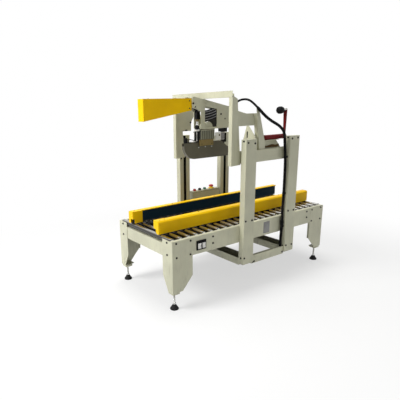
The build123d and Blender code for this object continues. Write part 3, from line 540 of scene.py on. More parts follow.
SIDES = (-1, 1)
SIDE_NAMES = {-1: "near", 1: "far"}
BED_FACE = 0.442
BED_END = 1.0
POST_FACE = 0.5
POST_STARTS = (-0.246, 0.327)
POST_WIDTH, POST_MIDDLE = 0.128, 0.471
FRAME_FACE = 0.049
ARM_FACE = 0.042
SLED_FACE = 0.018
CYLINDER_X = -0.375
HOSE_Y = -0.467
LEVER_Z = 1.388


class SEALER_OT_finishes(bpy.types.Operator):
    """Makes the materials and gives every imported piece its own"""

    bl_idname = "sealer.finishes"
    bl_label = "Finishes"

    OTHER = {"levelling_feet": "bright_steel", "tape_cartridge": "sled_paint",
             "cylinder_rod": "cylinder_body", "bed_tray": "tray"}

    def execute(self, context):
        make_looks(context.scene.sealer_paint)
        for row in frame["record"]["subparts"]:
            name = row["node"]
            item = frame["nodes"][name]
            item.data.materials.clear()
            item.data.materials.append(LOOKS[self.OTHER.get(name, row["material_slot"])])
        return {"FINISHED"}


class SEALER_OT_rollers(bpy.types.Operator):
    """The rollers: plated tubes with rolled ends, bearings and hexagon axles"""

    bl_idname = "sealer.rollers"
    bl_label = "Rollers"

    COUNT = 24
    RADIUS = 0.025
    HALF = 0.403
    HUB = [(0.0195, 0.0), (0.0195, 0.0012), (0.0165, 0.002), (0.0125, 0.001), (0.0095, 0.0026),
           (0.007, 0.0026)]

    def execute(self, context):
        """Each tube is a profile of radius against length, turned about its own axle."""
        segments = context.scene.sealer_sizes.segments
        low, high = box_of("rollers")
        radius, half = self.RADIUS, self.HALF
        z = high[2] - radius
        axle = [(0.0055, 0), (0.0055, high[1] - 0.0005 - half)]
        shell = [(radius * 0.8, -half), (radius * 0.96, -half), (radius, -half + 0.001),
                 (radius, half - 0.001), (radius * 0.96, half), (radius * 0.8, half)]
        tubes, bearings, axles = [], [], []
        for x in np.linspace(low[0] + radius, high[0] - radius, self.COUNT):
            tubes.append(lathe(shell, (x, 0, z), (0, 1, 0), segments))
            for sign in SIDES:
                bearings.append(lathe(self.HUB, (x, sign * half, z), (0, sign, 0), 20))
                axles.append(lathe(axle, (x, sign * half, z), (0, sign, 0), 6))
        solid("roller_tubes", tubes, "roller_steel", "frame", replaces=("rollers",))
        solid("roller_bearings", bearings, "bearing", "frame")
        solid("roller_axles", axles, "bearing", "frame")
        return {"FINISHED"}


class SEALER_OT_bed(bpy.types.Operator):
    """The bed's fasteners, leg overlaps, rocker switches and bare rating plate"""

    bl_idname = "sealer.bed"
    bl_label = "Bed details"

    INFEED_BOLTS = ((0.96, 0.603), (0.957, 0.479), (0.811, 0.6), (0.812, 0.479))
    OUTFEED_BOLTS = (*INFEED_BOLTS, (0.727, 0.594), (0.728, 0.532))
    LEG_START, LEG_END = 0.788, 0.9995
    LEG_HEIGHTS = (0.4655, 0.6175)
    LAP = 0.0015
    END_BOLTS = ((BED_END - 0.0002, 0.37, 0.495), (BED_END - 0.0002, 0.37, 0.602))
    TRAY_BOLTS = ((-0.562, BED_FACE, 0.586), (-0.561, BED_FACE, 0.525))
    SWITCHES = (-0.719, -0.671)
    ROCKER = (0.016, 0.512, 0.535, 0.558)
    ROCKER_FACES = [(5, 4, 3, 2, 1, 0), (6, 7, 8, 11), (11, 8, 9, 10)]
    PLATE = ((0.076, 0.161), (0.484, 0.597))

    def execute(self, context):
        width = context.scene.sealer_sizes.bolt
        bolts, laps = [], []
        for sign in SIDES:
            face = sign * BED_FACE
            for end, places in ((-1, self.INFEED_BOLTS), (1, self.OUTFEED_BOLTS)):
                outline = rectangle((end * self.LEG_END, end * self.LEG_START), self.LEG_HEIGHTS)
                laps.append(plate(outline, face, face + sign * self.LAP, "XZ", 0.0004))
                for x, z in places:
                    lift = self.LAP if x > self.LEG_START else 0.0
                    bolts += bolt((end * x, face + sign * lift, z), (0, sign, 0), width)
                places = moved(self.END_BOLTS, sides=(end, sign))
                bolts += fixings(bolt, places, (end, 0, 0), width)
            bolts += fixings(bolt, moved(self.TRAY_BOLTS, sides=(1, sign)), (0, sign, 0), width)
        solid("leg_overlaps", laps, "frame_paint", "frame")
        solid("bed_bolts", bolts, "fastener", "frame")
        self.switches()
        self.rating_plate()
        return {"FINISHED"}

    def switches(self):
        """A bezel and two rockers, each a ridge between two low edges."""
        low, high = box_of("switch_plate")
        rim, front, reach, ridge = 0.004, low[1] - 0.002, 0.007, 0.0045
        outline = rectangle((low[0] + rim, high[0] - rim), (low[2] + rim, high[2] - rim))
        solid("switch_bezel", [plate(outline, front, low[1], "XZ", 0.001)], "black_plastic", "frame")
        half, bottom, middle, top = self.ROCKER
        side = np.array((-half, half, half, half, -half, -half))
        z = np.array((bottom, bottom, middle, top, top, middle))
        lift = np.array((0, 0, ridge, 0, 0, ridge))
        walls = [(i, (i + 1) % 6, (i + 1) % 6 + 6, i + 6) for i in range(6)]
        rockers = []
        for x in self.SWITCHES:
            back = np.stack([x + side, np.full(6, front), z], 1)
            face = np.stack([x + side, front - reach + lift, z], 1)
            rockers.append((np.concatenate([back, face]), self.ROCKER_FACES + walls))
        solid("rocker_switches", rockers, "white_plastic", "frame")

    def rating_plate(self):
        front = -BED_FACE - 0.0012
        plain = plate(rectangle(*self.PLATE), front, -BED_FACE, "XZ", 0.0003)
        solid("rating_plate", [plain], "plate", "frame")
        (left, right), (bottom, top) = self.PLATE
        rim = width = 0.005
        places = [(x, front, z) for x in (left + rim, right - rim) for z in (bottom + rim, top - rim)]
        solid("plate_rivets", fixings(screw, places, (0, -1, 0), width), "bearing", "frame")


class SEALER_OT_feet(bpy.types.Operator):
    """Levelling feet: folded brackets, threaded stems with nuts, and ribbed rubber pads"""

    bl_idname = "sealer.feet"
    bl_label = "Levelling feet"

    BRACKET = 0.035
    THICK = 0.022
    NUT = [(0.0125, 0), (0.0138, 0.001), (0.0138, 0.0118), (0.0125, 0.0128)]
    PAD = [(0.036, 0.0), (0.038, 0.002), (0.038, 0.008), (0.0355, 0.0095), (0.037, 0.011),
           (0.034, 0.016), (0.024, 0.03), (0.0175, 0.04), (0.0165, 0.044)]

    def execute(self, context):
        """The stem's radius is mean + depth * sin(2 pi turns) along its height."""
        x_end, y_end, top = box_of("levelling_feet")[1]
        half = self.BRACKET
        steps = np.arange(150)
        height = 0.042 + steps * 0.0006
        radius = 0.0083 + 0.0007 * np.sin(steps / 4 * TURN)
        thread = np.stack([radius, height], 1)[height < top - self.THICK]
        brackets, stems, pads = [], [], []
        for x in (half - x_end, x_end - half):
            for y in (half - y_end, y_end - half):
                under = (x - half, y - half, top - self.THICK)
                brackets.append(slab(under, (x + half, y + half, top), 0.002))
                stems.append(lathe(thread, (x, y, 0), (0, 0, 1), 16))
                stems += [lathe(self.NUT, (x, y, z), (0, 0, 1), 6) for z in (0.046, top - 0.036)]
                pads.append(lathe(self.PAD, (x, y, 0), (0, 0, 1), 32))
        solid("foot_brackets", brackets, "frame_paint", "frame", replaces=("levelling_feet",))
        solid("foot_stems", stems, "bright_steel", "frame")
        solid("foot_pads", pads, "foot_rubber", "frame", 30.0)
        return {"FINISHED"}


class SEALER_OT_posts(bpy.types.Operator):
    """Bolts of the posts and rails, and black strips in the post slots, painted shade for the shade inside
    them
    """

    bl_idname = "sealer.posts"
    bl_label = "Post details"

    INFEED_BOLTS = ((0.023, 1.366), (0.106, 1.356), (0.019, 0.672), (0.099, 0.669), (0.015, 0.32))
    OUTFEED_BOLTS = ((0.024, 1.367), (0.104, 1.371), (0.023, 0.676), (0.103, 0.673), (0.021, 0.321),
                     (0.104, 0.317))
    SIDE_BOLTS = ((0.0, POST_MIDDLE, 1.378), (0.0, POST_MIDDLE, 0.316))
    RAIL_BOLTS = ((-0.104, 0.485, 0.25), (-0.084, 0.485, 0.254), (0.314, 0.485, 0.259))
    # black strips where the post slots lie in shade: painted shade
    SLOT_SHADE_STRIP = ((0.018, 0.4475, 0.27), (0.034, 0.4505, 1.386))
    SLOT_BACK_SHADE = ((0.005, 0.4925, 0.262), (POST_WIDTH - 0.005, 0.4955, 1.386))

    def execute(self, context):
        """Two narrow strips beside each post's slot, and a wide one on the post's back, all black as painted
        shade.
        """
        width = context.scene.sealer_sizes.bolt
        bolts, strips = [], []
        for sign in SIDES:
            for start, places in zip(POST_STARTS, (self.INFEED_BOLTS, self.OUTFEED_BOLTS)):
                for offset, z in places:
                    bolts += bolt((start + offset, sign * POST_FACE, z), (0, sign, 0), width)
                for side, x in zip(SIDES, (start, start + POST_WIDTH)):
                    bolts += fixings(bolt, moved(self.SIDE_BOLTS, x, sides=(1, sign)), (side, 0, 0), width)
                    corners = moved(self.SLOT_SHADE_STRIP, start + POST_WIDTH / 2, sides=(side, sign))
                    strips.append(slab(*corners, 0.0005))
                strips.append(slab(*moved(self.SLOT_BACK_SHADE, start, sides=(1, sign)), 0.0005))
            bolts += fixings(bolt, moved(self.RAIL_BOLTS, sides=(1, sign)), (0, sign, 0), width)
        solid("post_bolts", bolts, "fastener", "frame")
        solid("post_slot_shades", strips, "cylinder_body", "frame")
        return {"FINISHED"}


class SEALER_OT_guards(bpy.types.Operator):
    """Screws and the end cap's seam on top of the belt covers"""

    bl_idname = "sealer.guards"
    bl_label = "Belt guards"

    COVER_SCREWS = ((-0.525, 0.202, 0.0), (0.02, 0.202, 0.0), (0.56, 0.202, 0.0))
    CAP_SCREWS = ((-0.96, 0.215, 0.0), (-0.915, 0.215, 0.0))
    SEAM = ((-0.8955, 0.186, -0.001), (-0.894, 0.238, 0.0002))

    def execute(self, context):
        for sign in SIDES:
            side = SIDE_NAMES[sign]
            top = box_of("belt_cover_" + side)[1][2]
            cover, cap, seam = (moved(places, 0.0, top, (1, sign))
                                for places in (self.COVER_SCREWS, self.CAP_SCREWS, self.SEAM))
            screws = fixings(screw, cover, (0, 0, 1), 0.011) + fixings(screw, cap, (0, 0, 1), 0.009)
            solid("guard_screws_" + side, screws, "fastener", "belt_unit_" + side)
            solid("guard_seams_" + side, [slab(*seam, 0.0003)], "cylinder_body", "belt_unit_" + side)
        return {"FINISHED"}


class SEALER_OT_controls(bpy.types.Operator):
    """Push buttons, the mushroom stop on its yellow collar, and the control box's lid"""

    bl_idname = "sealer.controls"
    bl_label = "Controls"

    BUTTONS = (("red", -0.029, "button_plastic"), ("black", 0.043, "black_plastic"),
               ("green", 0.115, "green_plastic"))
    STOP_X = 0.211
    CAP = [(0.018, 0.0), (0.018, 0.004), (0.0155, 0.005), (0.0155, 0.019), (0.0135, 0.0208),
           (0.006, 0.021)]
    COLLAR = [(0.031, 0.0), (0.031, 0.006), (0.029, 0.011), (0.021, 0.015), (0.018, 0.022)]
    DOME = [(0.018, 0.0), (0.026, 0.002), (0.027, 0.006), (0.025, 0.012), (0.019, 0.0175),
            (0.01, 0.0205), (0.002, 0.021)]

    def execute(self, context):
        low, high = box_of("control_box")
        top = high[2]
        replaced = ("push_buttons",)
        for name, x, look in self.BUTTONS:
            cap = lathe(self.CAP, (x, POST_MIDDLE, top), (0, 0, 1), 28)
            solid(name + "_button", [cap], look, "frame", 35.0, replaced)
            replaced = ()
        collar = lathe(self.COLLAR, (self.STOP_X, POST_MIDDLE, top), (0, 0, 1), 32)
        dome = lathe(self.DOME, (self.STOP_X, POST_MIDDLE, top + self.COLLAR[-1][1]), (0, 0, 1), 32)
        solid("stop_collar", [collar], "yellow_plastic", "frame", 35.0, replaces=("emergency_stop",))
        solid("stop_mushroom", [dome], "button_plastic", "frame", 50.0)
        proud, rim = 0.0004, 0.012
        seam = slab((low[0] - proud, 0.4416, top - 0.0165), (high[0] + proud, 0.4994, top - 0.0145), 0.0003)
        solid("lid_seam", [seam], "cylinder_body", "frame")
        places = [(x, y, top) for x in (low[0] + rim, high[0] - rim) for y in (0.452, 0.49)]
        solid("lid_screws", fixings(screw, places, (0, 0, 1), 0.007), "bearing", "frame")
        return {"FINISHED"}


class SEALER_OT_conduit(bpy.types.Operator):
    """The conduit: a thin cable from the column into a corrugated hose, which clips hold to the post"""

    bl_idname = "sealer.conduit"
    bl_label = "Conduit"

    ROUTE = ((-0.336, -0.4, 1.696), (-0.286, -0.4, 1.696), (-0.232, -0.404, 1.724),
             (-0.16, -0.43, 1.725), (-0.086, -0.448, 1.668), (0.02, -0.452, 1.584),
             (0.112, -0.452, 1.533), (0.196, -0.456, 1.498), (0.252, -0.463, 1.458),
             (0.28, HOSE_Y, 1.414), (0.286, HOSE_Y, 1.34), (0.307, HOSE_Y, 1.2), (0.312, HOSE_Y, 1.03),
             (0.312, HOSE_Y, 0.85), (0.307, HOSE_Y, 0.69), (0.312, HOSE_Y, 0.52), (0.302, HOSE_Y, 0.43),
             (0.302, HOSE_Y, 0.317))
    POINTS_A_RING = 6
    SMOOTH = 9
    HOSE_START, OVERLAP = -0.075, 12
    CABLE = 0.0092
    RIDGE = 0.0021
    CUFF, TAPER, MOUTH = 0.03, 0.012, 0.72
    BEND = ((0.27, HOSE_Y, 1.43), (-0.232, -0.404, 1.724))
    CLIPS = ((0.307, 1.2), (0.312, 0.85), (0.312, 0.52))
    CLIP_IN, CLIP_OUT, CLIP_HALF, TAB_X = 0.0118, 0.0145, 0.009, 0.3268
    GLAND_PLACE = (0.309, HOSE_Y, 0.555)
    GLAND = [(0.0135, -0.022), (0.0165, -0.02), (0.0165, -0.004), (0.0175, -0.003), (0.0175, 0.012),
             (0.0165, 0.013), (0.0165, 0.026), (0.0135, 0.028)]

    def line(self):
        """Points of the NURBS curve of third order that the route's control points draw."""
        data = bpy.data.curves.new("conduit_line", "CURVE")
        data.dimensions = "3D"
        data.resolution_u = 24
        spline = data.splines.new("NURBS")
        spline.points.add(len(self.ROUTE) - 1)
        for point, place in zip(spline.points, self.ROUTE):
            point.co = (*place, 1.0)
        spline.order_u = 3
        spline.use_endpoint_u = True
        item = bpy.data.objects.new("conduit_line", data)
        mesh = bpy.data.meshes.new_from_object(item)
        points = np.empty(len(mesh.vertices) * 3)
        mesh.vertices.foreach_get("co", points)
        bpy.data.objects.remove(item)
        bpy.data.meshes.remove(mesh)
        return points.reshape(-1, 3)

    def path(self, spacing):
        """The line cut into equal steps along its length, each point the mean of nine neighbours."""
        line = self.line()
        steps = np.linalg.norm(np.diff(line, axis=0), axis=1)
        line = line[np.concatenate([[True], steps > 1e-6])]
        run = np.concatenate([[0.0], np.cumsum(np.linalg.norm(np.diff(line, axis=0), axis=1))])
        s = np.linspace(0.0, run[-1], int(run[-1] / spacing))
        path = np.stack([np.interp(s, run, line[:, axis]) for axis in range(3)], 1)
        window, edge = np.ones(self.SMOOTH) / self.SMOOTH, self.SMOOTH // 2
        for axis in range(3):
            path[edge:-edge, axis] = np.convolve(path[:, axis], window, "valid")
        return s, path

    def execute(self, context):
        """The hose's radius is wide - depth * (1 - |sin(pi s / pitch)|) along its length s,
        plain over the cuff at its start, and narrower at the mouth."""
        pitch, wide = context.scene.sealer_sizes.ring_pitch, context.scene.sealer_sizes.conduit / 2
        s, path = self.path(pitch / self.POINTS_A_RING)
        start = int(np.argmax(path[:, 0] > self.HOSE_START))
        ridge = wide - self.RIDGE * (1.0 - np.abs(np.sin(math.pi * s[start:] / pitch)))
        into = s[start:] - s[start]
        taper = self.MOUTH + (1.0 - self.MOUTH) * np.minimum(into / self.TAPER, 1.0)
        ridge = np.where(into < self.CUFF, wide * 0.98, ridge) * taper
        cable = pipe(path[: start + self.OVERLAP : 4], self.CABLE, 14)
        hose = pipe(path[start:], ridge, 20)
        for name, shape, replaced in (("conduit_cable", cable, ()), ("conduit_hose", hose, ("conduit",))):
            made = solid(name, [shape], "black_plastic", None, 60.0, replaced)
            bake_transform(made)
        gland = lathe(self.GLAND, self.GLAND_PLACE, (0, 0, 1), 24)
        solid("hose_gland", [gland], "black_plastic", "frame", 35.0)
        self.clips()
        return {"FINISHED"}

    def clips(self):
        """Each clip is an arc of 0.62 turns between two radii, with a flat tab to the post."""
        around = np.linspace(-0.31, 0.31, 19) * TURN + TURN / 2
        spoke = np.stack([np.cos(around), np.sin(around)], 1)
        clips, screws = [], []
        for x, z in self.CLIPS:
            outer = (x, HOSE_Y) + self.CLIP_OUT * spoke
            inner = ((x, HOSE_Y) + self.CLIP_IN * spoke)[::-1]
            tab = [(self.TAB_X, outer[-1][1]), (self.TAB_X, inner[0][1])]
            outline = np.concatenate([outer, tab, inner])
            clips.append(plate(outline, z - self.CLIP_HALF, z + self.CLIP_HALF, "XY", 0.0006))
            screws += screw((self.TAB_X, -0.452, z), (-1, 0, 0), 0.009)
        solid("hose_clips", clips, "black_plastic", "frame", replaces=("conduit_clips",))
        solid("hose_clip_screws", screws, "fastener", "frame")


class SEALER_OT_head(bpy.types.Operator):
    """Bolts, screws, weld beads, black plates painted as the shade in an oval hole and a slot, beam lips of
    the head, and the rust inside the near beam
    """

    bl_idname = "sealer.head"
    bl_label = "Head details"

    FRAME_BOLTS = ((-0.463, 0.055, 1.705), (-0.127, FRAME_FACE, 1.603), (-0.02, FRAME_FACE, 1.52))
    SMALL_BOLTS = ((-0.075, FRAME_FACE, 1.56),)
    TOP_BAR_BOLTS = ((-0.31, 0.16, 1.747), (-0.31, 0.30, 1.747))
    SLED_SCREWS = ((-0.371, SLED_FACE, 1.309), (-0.293, SLED_FACE, 1.312), (-0.217, SLED_FACE, 1.311))
    FAR_BOLTS = (((-0.15, 0.382, 1.521), 1.1), ((-0.278, 0.378, 1.164), 1.0))
    # black plates painted as the shade of an oval hole on the far plate and of the gusset's slot
    OVAL_HOLE_SHADE = ((-0.207, 1.446), 0.03, 0.012)
    STRUT_SLOT_SHADE = ((-0.0552, -0.342, 1.382), (-0.0532, -0.31, 1.458))
    SEAM = ((-0.338, 0.3785, 1.7442), 0.052)
    LIP = ((-0.02, 0.4405, 1.2865), (0.32, 0.431, 1.2888))
    RUST = ((-0.03, 1.2925), (0.3, 1.2925), (0.3, 1.32), (0.245, 1.313), (0.2, 1.322), (0.13, 1.309),
            (0.08, 1.316), (0.02, 1.303))

    def execute(self, context):
        """A weld bead's radius swells and shrinks with a sine along its seam."""
        width = context.scene.sealer_sizes.bolt
        along = np.linspace(0, 1, 90)[:, None]
        bead = 0.0016 + 0.0003 * np.sin(along[:, 0] * 120)
        (x, y, z), length = self.SEAM
        bolts, pale, beads, lips = [], [], [], []
        for sign in SIDES:
            beads.append(pipe((x, sign * y, z) + along * (length, 0.0, 0.0), bead, 8))
            frame_bolts, small, top, sled, lip = (
                moved(places, sides=(1, sign)) for places in
                (self.FRAME_BOLTS, self.SMALL_BOLTS, self.TOP_BAR_BOLTS, self.SLED_SCREWS, self.LIP))
            lips.append(slab(*lip, 0.0006))
            bolts += fixings(bolt, frame_bolts, (0, sign, 0), width)
            bolts += fixings(bolt, small, (0, sign, 0), width * 0.7)
            bolts += fixings(bolt, top, (0, 0, 1), width)
            pale += fixings(screw, sled, (0, sign, 0), 0.011)
        for place, share in self.FAR_BOLTS:
            bolts += bolt(place, (0, -1, 0), width * share)
        # painted shade: black plates where a hole and a slot show dark
        hole_shade = plate(oval(*self.OVAL_HOLE_SHADE), 0.3812, 0.3822, "XZ", 0.0003)
        solid("head_bolts", bolts, "fastener", "head")
        solid("sled_screws", pale, "bearing", "head")
        solid("weld_beads", beads, "frame_paint", "head")
        solid("slots_painted_shade", [hole_shade, slab(*self.STRUT_SLOT_SHADE, 0.0004)], "cylinder_body", "head")
        solid("beam_lips", lips, "frame_paint", "head")
        solid("rust_stain", [plate(self.RUST, -0.3905, -0.3901, "XZ", 0.0001)], "rust", "head")
        return {"FINISHED"}


class SEALER_OT_tape(bpy.types.Operator):
    """Tape path: the wound roll, its guide roller and guard, the ribbed cartridge and the flap sensor"""

    bl_idname = "sealer.tape"
    bl_label = "Tape head"

    REEL_HALF = 0.038
    ROLLER = (-0.266, 0, 1.489)
    DRUM = [(0.042, -0.036), (0.0495, -0.034), (0.05, -0.03), (0.05, 0.03), (0.0495, 0.034),
            (0.042, 0.036)]
    FIN, FIN_TOP = (0.0095, 0.0448, 0.0478), 1.462
    # pale strip painted as the highlight on the cartridge's top edge
    EDGE_HIGHLIGHT = ((-0.3655, -0.0478, 1.4622), (-0.2035, -0.0448, 1.4672))
    MOUNT_SCREWS = ((-0.355, -0.045, 1.34), (-0.236, -0.045, 1.34))
    SENSOR = ((-0.522, -0.013, 1.361), (-0.502, 0.013, 1.404))
    SENSOR_FOOT = ((-0.502, -0.012, 1.361), (-0.48, 0.012, 1.396))
    SENSOR_STRIP = ((-0.462, -0.0184, 1.3612), (-0.406, -0.004, 1.367))
    WAND = ((-0.482, 0, 1.392), (-0.397, 0, 1.372))
    GUARD_CENTRE = (-0.36, 2.13)
    GUARD_RADII = (0.49, 0.592)
    WIRES = (0.505, 0.528, 0.551, 0.574)

    def execute(self, context):
        self.reel()
        drum = lathe(self.DRUM, self.ROLLER, (0, 1, 0), 48)
        axle = lathe([(0.006, -0.045), (0.006, 0.045)], self.ROLLER, (0, 1, 0), 16)
        solid("guide_roller", [drum, axle], "frame_paint", "head", 35.0)
        self.cartridge()
        self.rear_arm()
        self.guard()
        self.sensor()
        return {"FINISHED"}

    def reel(self):
        """The roll's radius steps up and down by 1.2 mm along its width, as wound edges do."""
        low, high = box_of("tape_roll")
        x, z = (low[0] + high[0]) / 2, (low[2] + high[2]) / 2
        r, half = (high[0] - low[0]) / 2, self.REEL_HALF
        inner, step = r * 0.42, 0.0012
        ribs = [(inner, -half - 0.0005)]
        for s in np.linspace(-half, half, 25)[:-1]:
            ribs += [(r - step, s), (r, s + 0.0008), (r, s + 0.0022)]
        ribs += [(r - step, half), (r, half), (inner, half + 0.0005)]
        hub = [(r * 0.4, 0), (r * 0.4, 0.0025), (r * 0.3, 0.004), (0.012, 0.004), (0.012, 0.0068)]
        hubs = [lathe(hub, (x, sign * half, z), (0, sign, 0), 40) for sign in SIDES]
        reel = lathe(ribs, (x, 0, z), (0, 1, 0), 64)
        solid("tape_reel", [reel], "tape_film", "head", 30.0, replaces=("tape_roll",))
        solid("reel_hub", hubs, "ochre_plastic", "head", 30.0)

    def cartridge(self):
        """Eight fins on each side, up to a pale strip along the top of the near ones, a painted highlight on
        their top edge.
        """
        bottom = box_of("tape_cartridge")[0][2] + 0.004
        width, face, out = self.FIN
        fins = [slab((x, sign * face, bottom), (x + width, sign * out, self.FIN_TOP))
                for x in np.linspace(-0.3655, -0.213, 8) for sign in SIDES]
        solid("cartridge_ribs", fins, "cartridge", "head")
        # the pale strip is a painted highlight along the cartridge's lit top edge
        solid("cartridge_edge_highlight", [slab(*self.EDGE_HIGHLIGHT, 0.001)], "frame_paint", "head")

    def guard(self):
        """A curved guard behind the near window: a ring sector about a far centre,
        and round wires along arcs of growing radius on its face."""
        angle = np.radians(np.linspace(-87, -71, 28))
        spoke = np.stack([np.cos(angle), np.sin(angle)], 1)
        inner, outer = (self.GUARD_CENTRE + spoke * radius for radius in self.GUARD_RADII)
        back = plate(np.concatenate([outer, inner[::-1]]), -0.0435, -0.0415, "XZ", 0.0005)
        arcs = (self.GUARD_CENTRE + spoke * radius for radius in self.WIRES)
        wires = [pipe(np.insert(arc, 1, -0.0442, axis=1), 0.0032, 10) for arc in arcs]
        solid("web_guard", [back], "cylinder_body", "head")
        solid("web_wires", wires, "plate", "head")

    def rear_arm(self):
        low, high = box_of("rear_arm")
        face = low[1]
        pad = slab((-0.1155, face - 0.002, low[2] + 0.004), (-0.074, face, high[2] - 0.004), 0.001)
        solid("rear_arm_pad", [pad], "plate", "head")
        solid("rear_arm_bolt", bolt((-0.135, face, 1.41), (0, -1, 0), 0.012), "fastener", "head")

    def sensor(self):
        """The mount's two screws, and the flap sensor with its foot, wand and strip."""
        solid("mount_screws", fixings(screw, self.MOUNT_SCREWS, (0, -1, 0), 0.008), "fastener", "head")
        body, wand = slab(*self.SENSOR, 0.003), pipe(np.linspace(*self.WAND, 4), 0.0035, 12)
        solid("flap_sensor", [body, wand], "black_plastic", "head", 35.0)
        solid("sensor_foot", [slab(*self.SENSOR_FOOT, 0.002)], "sled_paint", "head")
        solid("sensor_strip", [slab(*self.SENSOR_STRIP, 0.001)], "white_plastic", "head")


class SEALER_OT_cylinder(bpy.types.Operator):
    """Air cylinder: ringed barrel, caps with tie rods and ports, chromed rod, nut and fork washers"""

    bl_idname = "sealer.cylinder"
    bl_label = "Air cylinder"

    BARREL = [(0.0232, 0.006), (0.029, 0.008), (0.029, 0.02), (0.02697, 0.0215), (0.02697, 0.09),
              (0.029, 0.0915), (0.029, 0.101), (0.0232, 0.103)]
    CAP = [(0.02, 0.118), (0.021, 0.12), (0.021, 0.148), (0.019, 0.151), (0.0105, 0.151), (0.0105, 0.158)]
    RING = [(0.02494, 0.1025), (0.02813, 0.104), (0.02813, 0.1165), (0.02494, 0.1185)]
    TIES, TIE_START = 0.02842, 0.012
    TIE = [(0.0022, 0), (0.0022, 0.088)]
    PORT_OUT, PORT_HEIGHTS = 0.028, (0.016, 0.096)
    PORT = [(0.006, 0.0), (0.006, 0.008), (0.0045, 0.0085), (0.0045, 0.018), (0.003, 0.0185)]
    COLLAR = [(0.0105, 0.0), (0.0125, 0.001), (0.0125, 0.01), (0.0105, 0.011)]
    FORK = 1.562
    NUT = [(0.012, -0.012), (0.0165, -0.011), (0.0175, 0.0), (0.0165, 0.011), (0.012, 0.012)]
    JAM_NUT = [(0.0118, -0.016), (0.0135, -0.015), (0.0135, -0.004), (0.0118, -0.003)]
    WASHER = [(0.011, 0), (0.012, 0.001), (0.012, 0.004), (0.0105, 0.005)]

    def execute(self, context):
        x, up = CYLINDER_X, (0, 0, 1)
        low, high = box_of("arm_cylinder")
        base = low[2]
        black = [lathe(self.BARREL, (x, 0, base), up, 40), lathe(self.CAP, (x, 0, base), up, 36),
                 slab((low[0], -0.018, base + 0.0002), (-0.34, 0.018, base + 0.006), 0.001)]
        rings = [lathe(self.RING, (x, 0, base), up, 36)]
        for angle in np.array((0.125, 0.375, 0.625, 0.875)) * TURN:
            place = (x + self.TIES * math.cos(angle), self.TIES * math.sin(angle), base + self.TIE_START)
            rings.append(lathe(self.TIE, place, up, 10))
        ports = [lathe(self.PORT, (x - self.PORT_OUT, 0, base + rise), (-1, 0, 0), 6)
                 for rise in self.PORT_HEIGHTS]
        ports.append(lathe(self.COLLAR, (x, 0, base + 0.156), up, 6))
        solid("cylinder_barrel", black, "cylinder_body", "head", 35.0, replaces=("arm_cylinder",))
        solid("cylinder_rings", rings, "white_plastic", "head", 35.0)
        solid("cylinder_ports", ports, "bearing", "head")
        rod = lathe([(0.0083, high[2] + 0.002), (0.0083, self.FORK)], (x, 0, 0), up, 28)
        jam_nut = lathe(self.JAM_NUT, (x, 0, self.FORK), up, 6)
        nut = lathe(self.NUT, (x, 0, self.FORK - 0.006), up, 24)
        washers = [lathe(self.WASHER, (x + 0.003, sign * 0.017, 1.647), (0, sign, 0), 20)
                   for sign in SIDES]
        solid("piston_rod", [rod, jam_nut], "bright_steel", "piston", 35.0)
        solid("rod_nut", [nut], "ochre_plastic", "piston", 35.0)
        solid("fork_washers", washers, "bearing", "piston", 35.0)
        return {"FINISHED"}


class SEALER_OT_arm(bpy.types.Operator):
    """Flap arm details: side and top screws and the hinge washers"""

    bl_idname = "sealer.arm"
    bl_label = "Flap arm details"

    SIDE_SCREWS = ((-0.494, ARM_FACE, 1.727), (-0.494, ARM_FACE, 1.663))
    TOP_SCREWS = ((-0.9, 0.0, 1.749), (-0.62, 0.0, 1.749))
    PIVOT = ((-0.44, ARM_FACE + 0.0005, 1.675),)
    WASHER = [(0.016, 0), (0.016, 0.0015), (0.0085, 0.0018), (0.0085, 0.004)]

    def execute(self, context):
        screws, washers = [], []
        for sign in SIDES:
            screws += fixings(screw, moved(self.SIDE_SCREWS, sides=(1, sign)), (0, sign, 0), 0.012)
            washers.append(lathe(self.WASHER, *moved(self.PIVOT, sides=(1, sign)), (0, sign, 0), 24))
        screws += fixings(screw, self.TOP_SCREWS, (0, 0, 1), 0.009)
        solid("arm_screws", screws, "fastener", "flap_arm")
        solid("hinge_washers", washers, "bearing", "flap_arm")
        return {"FINISHED"}


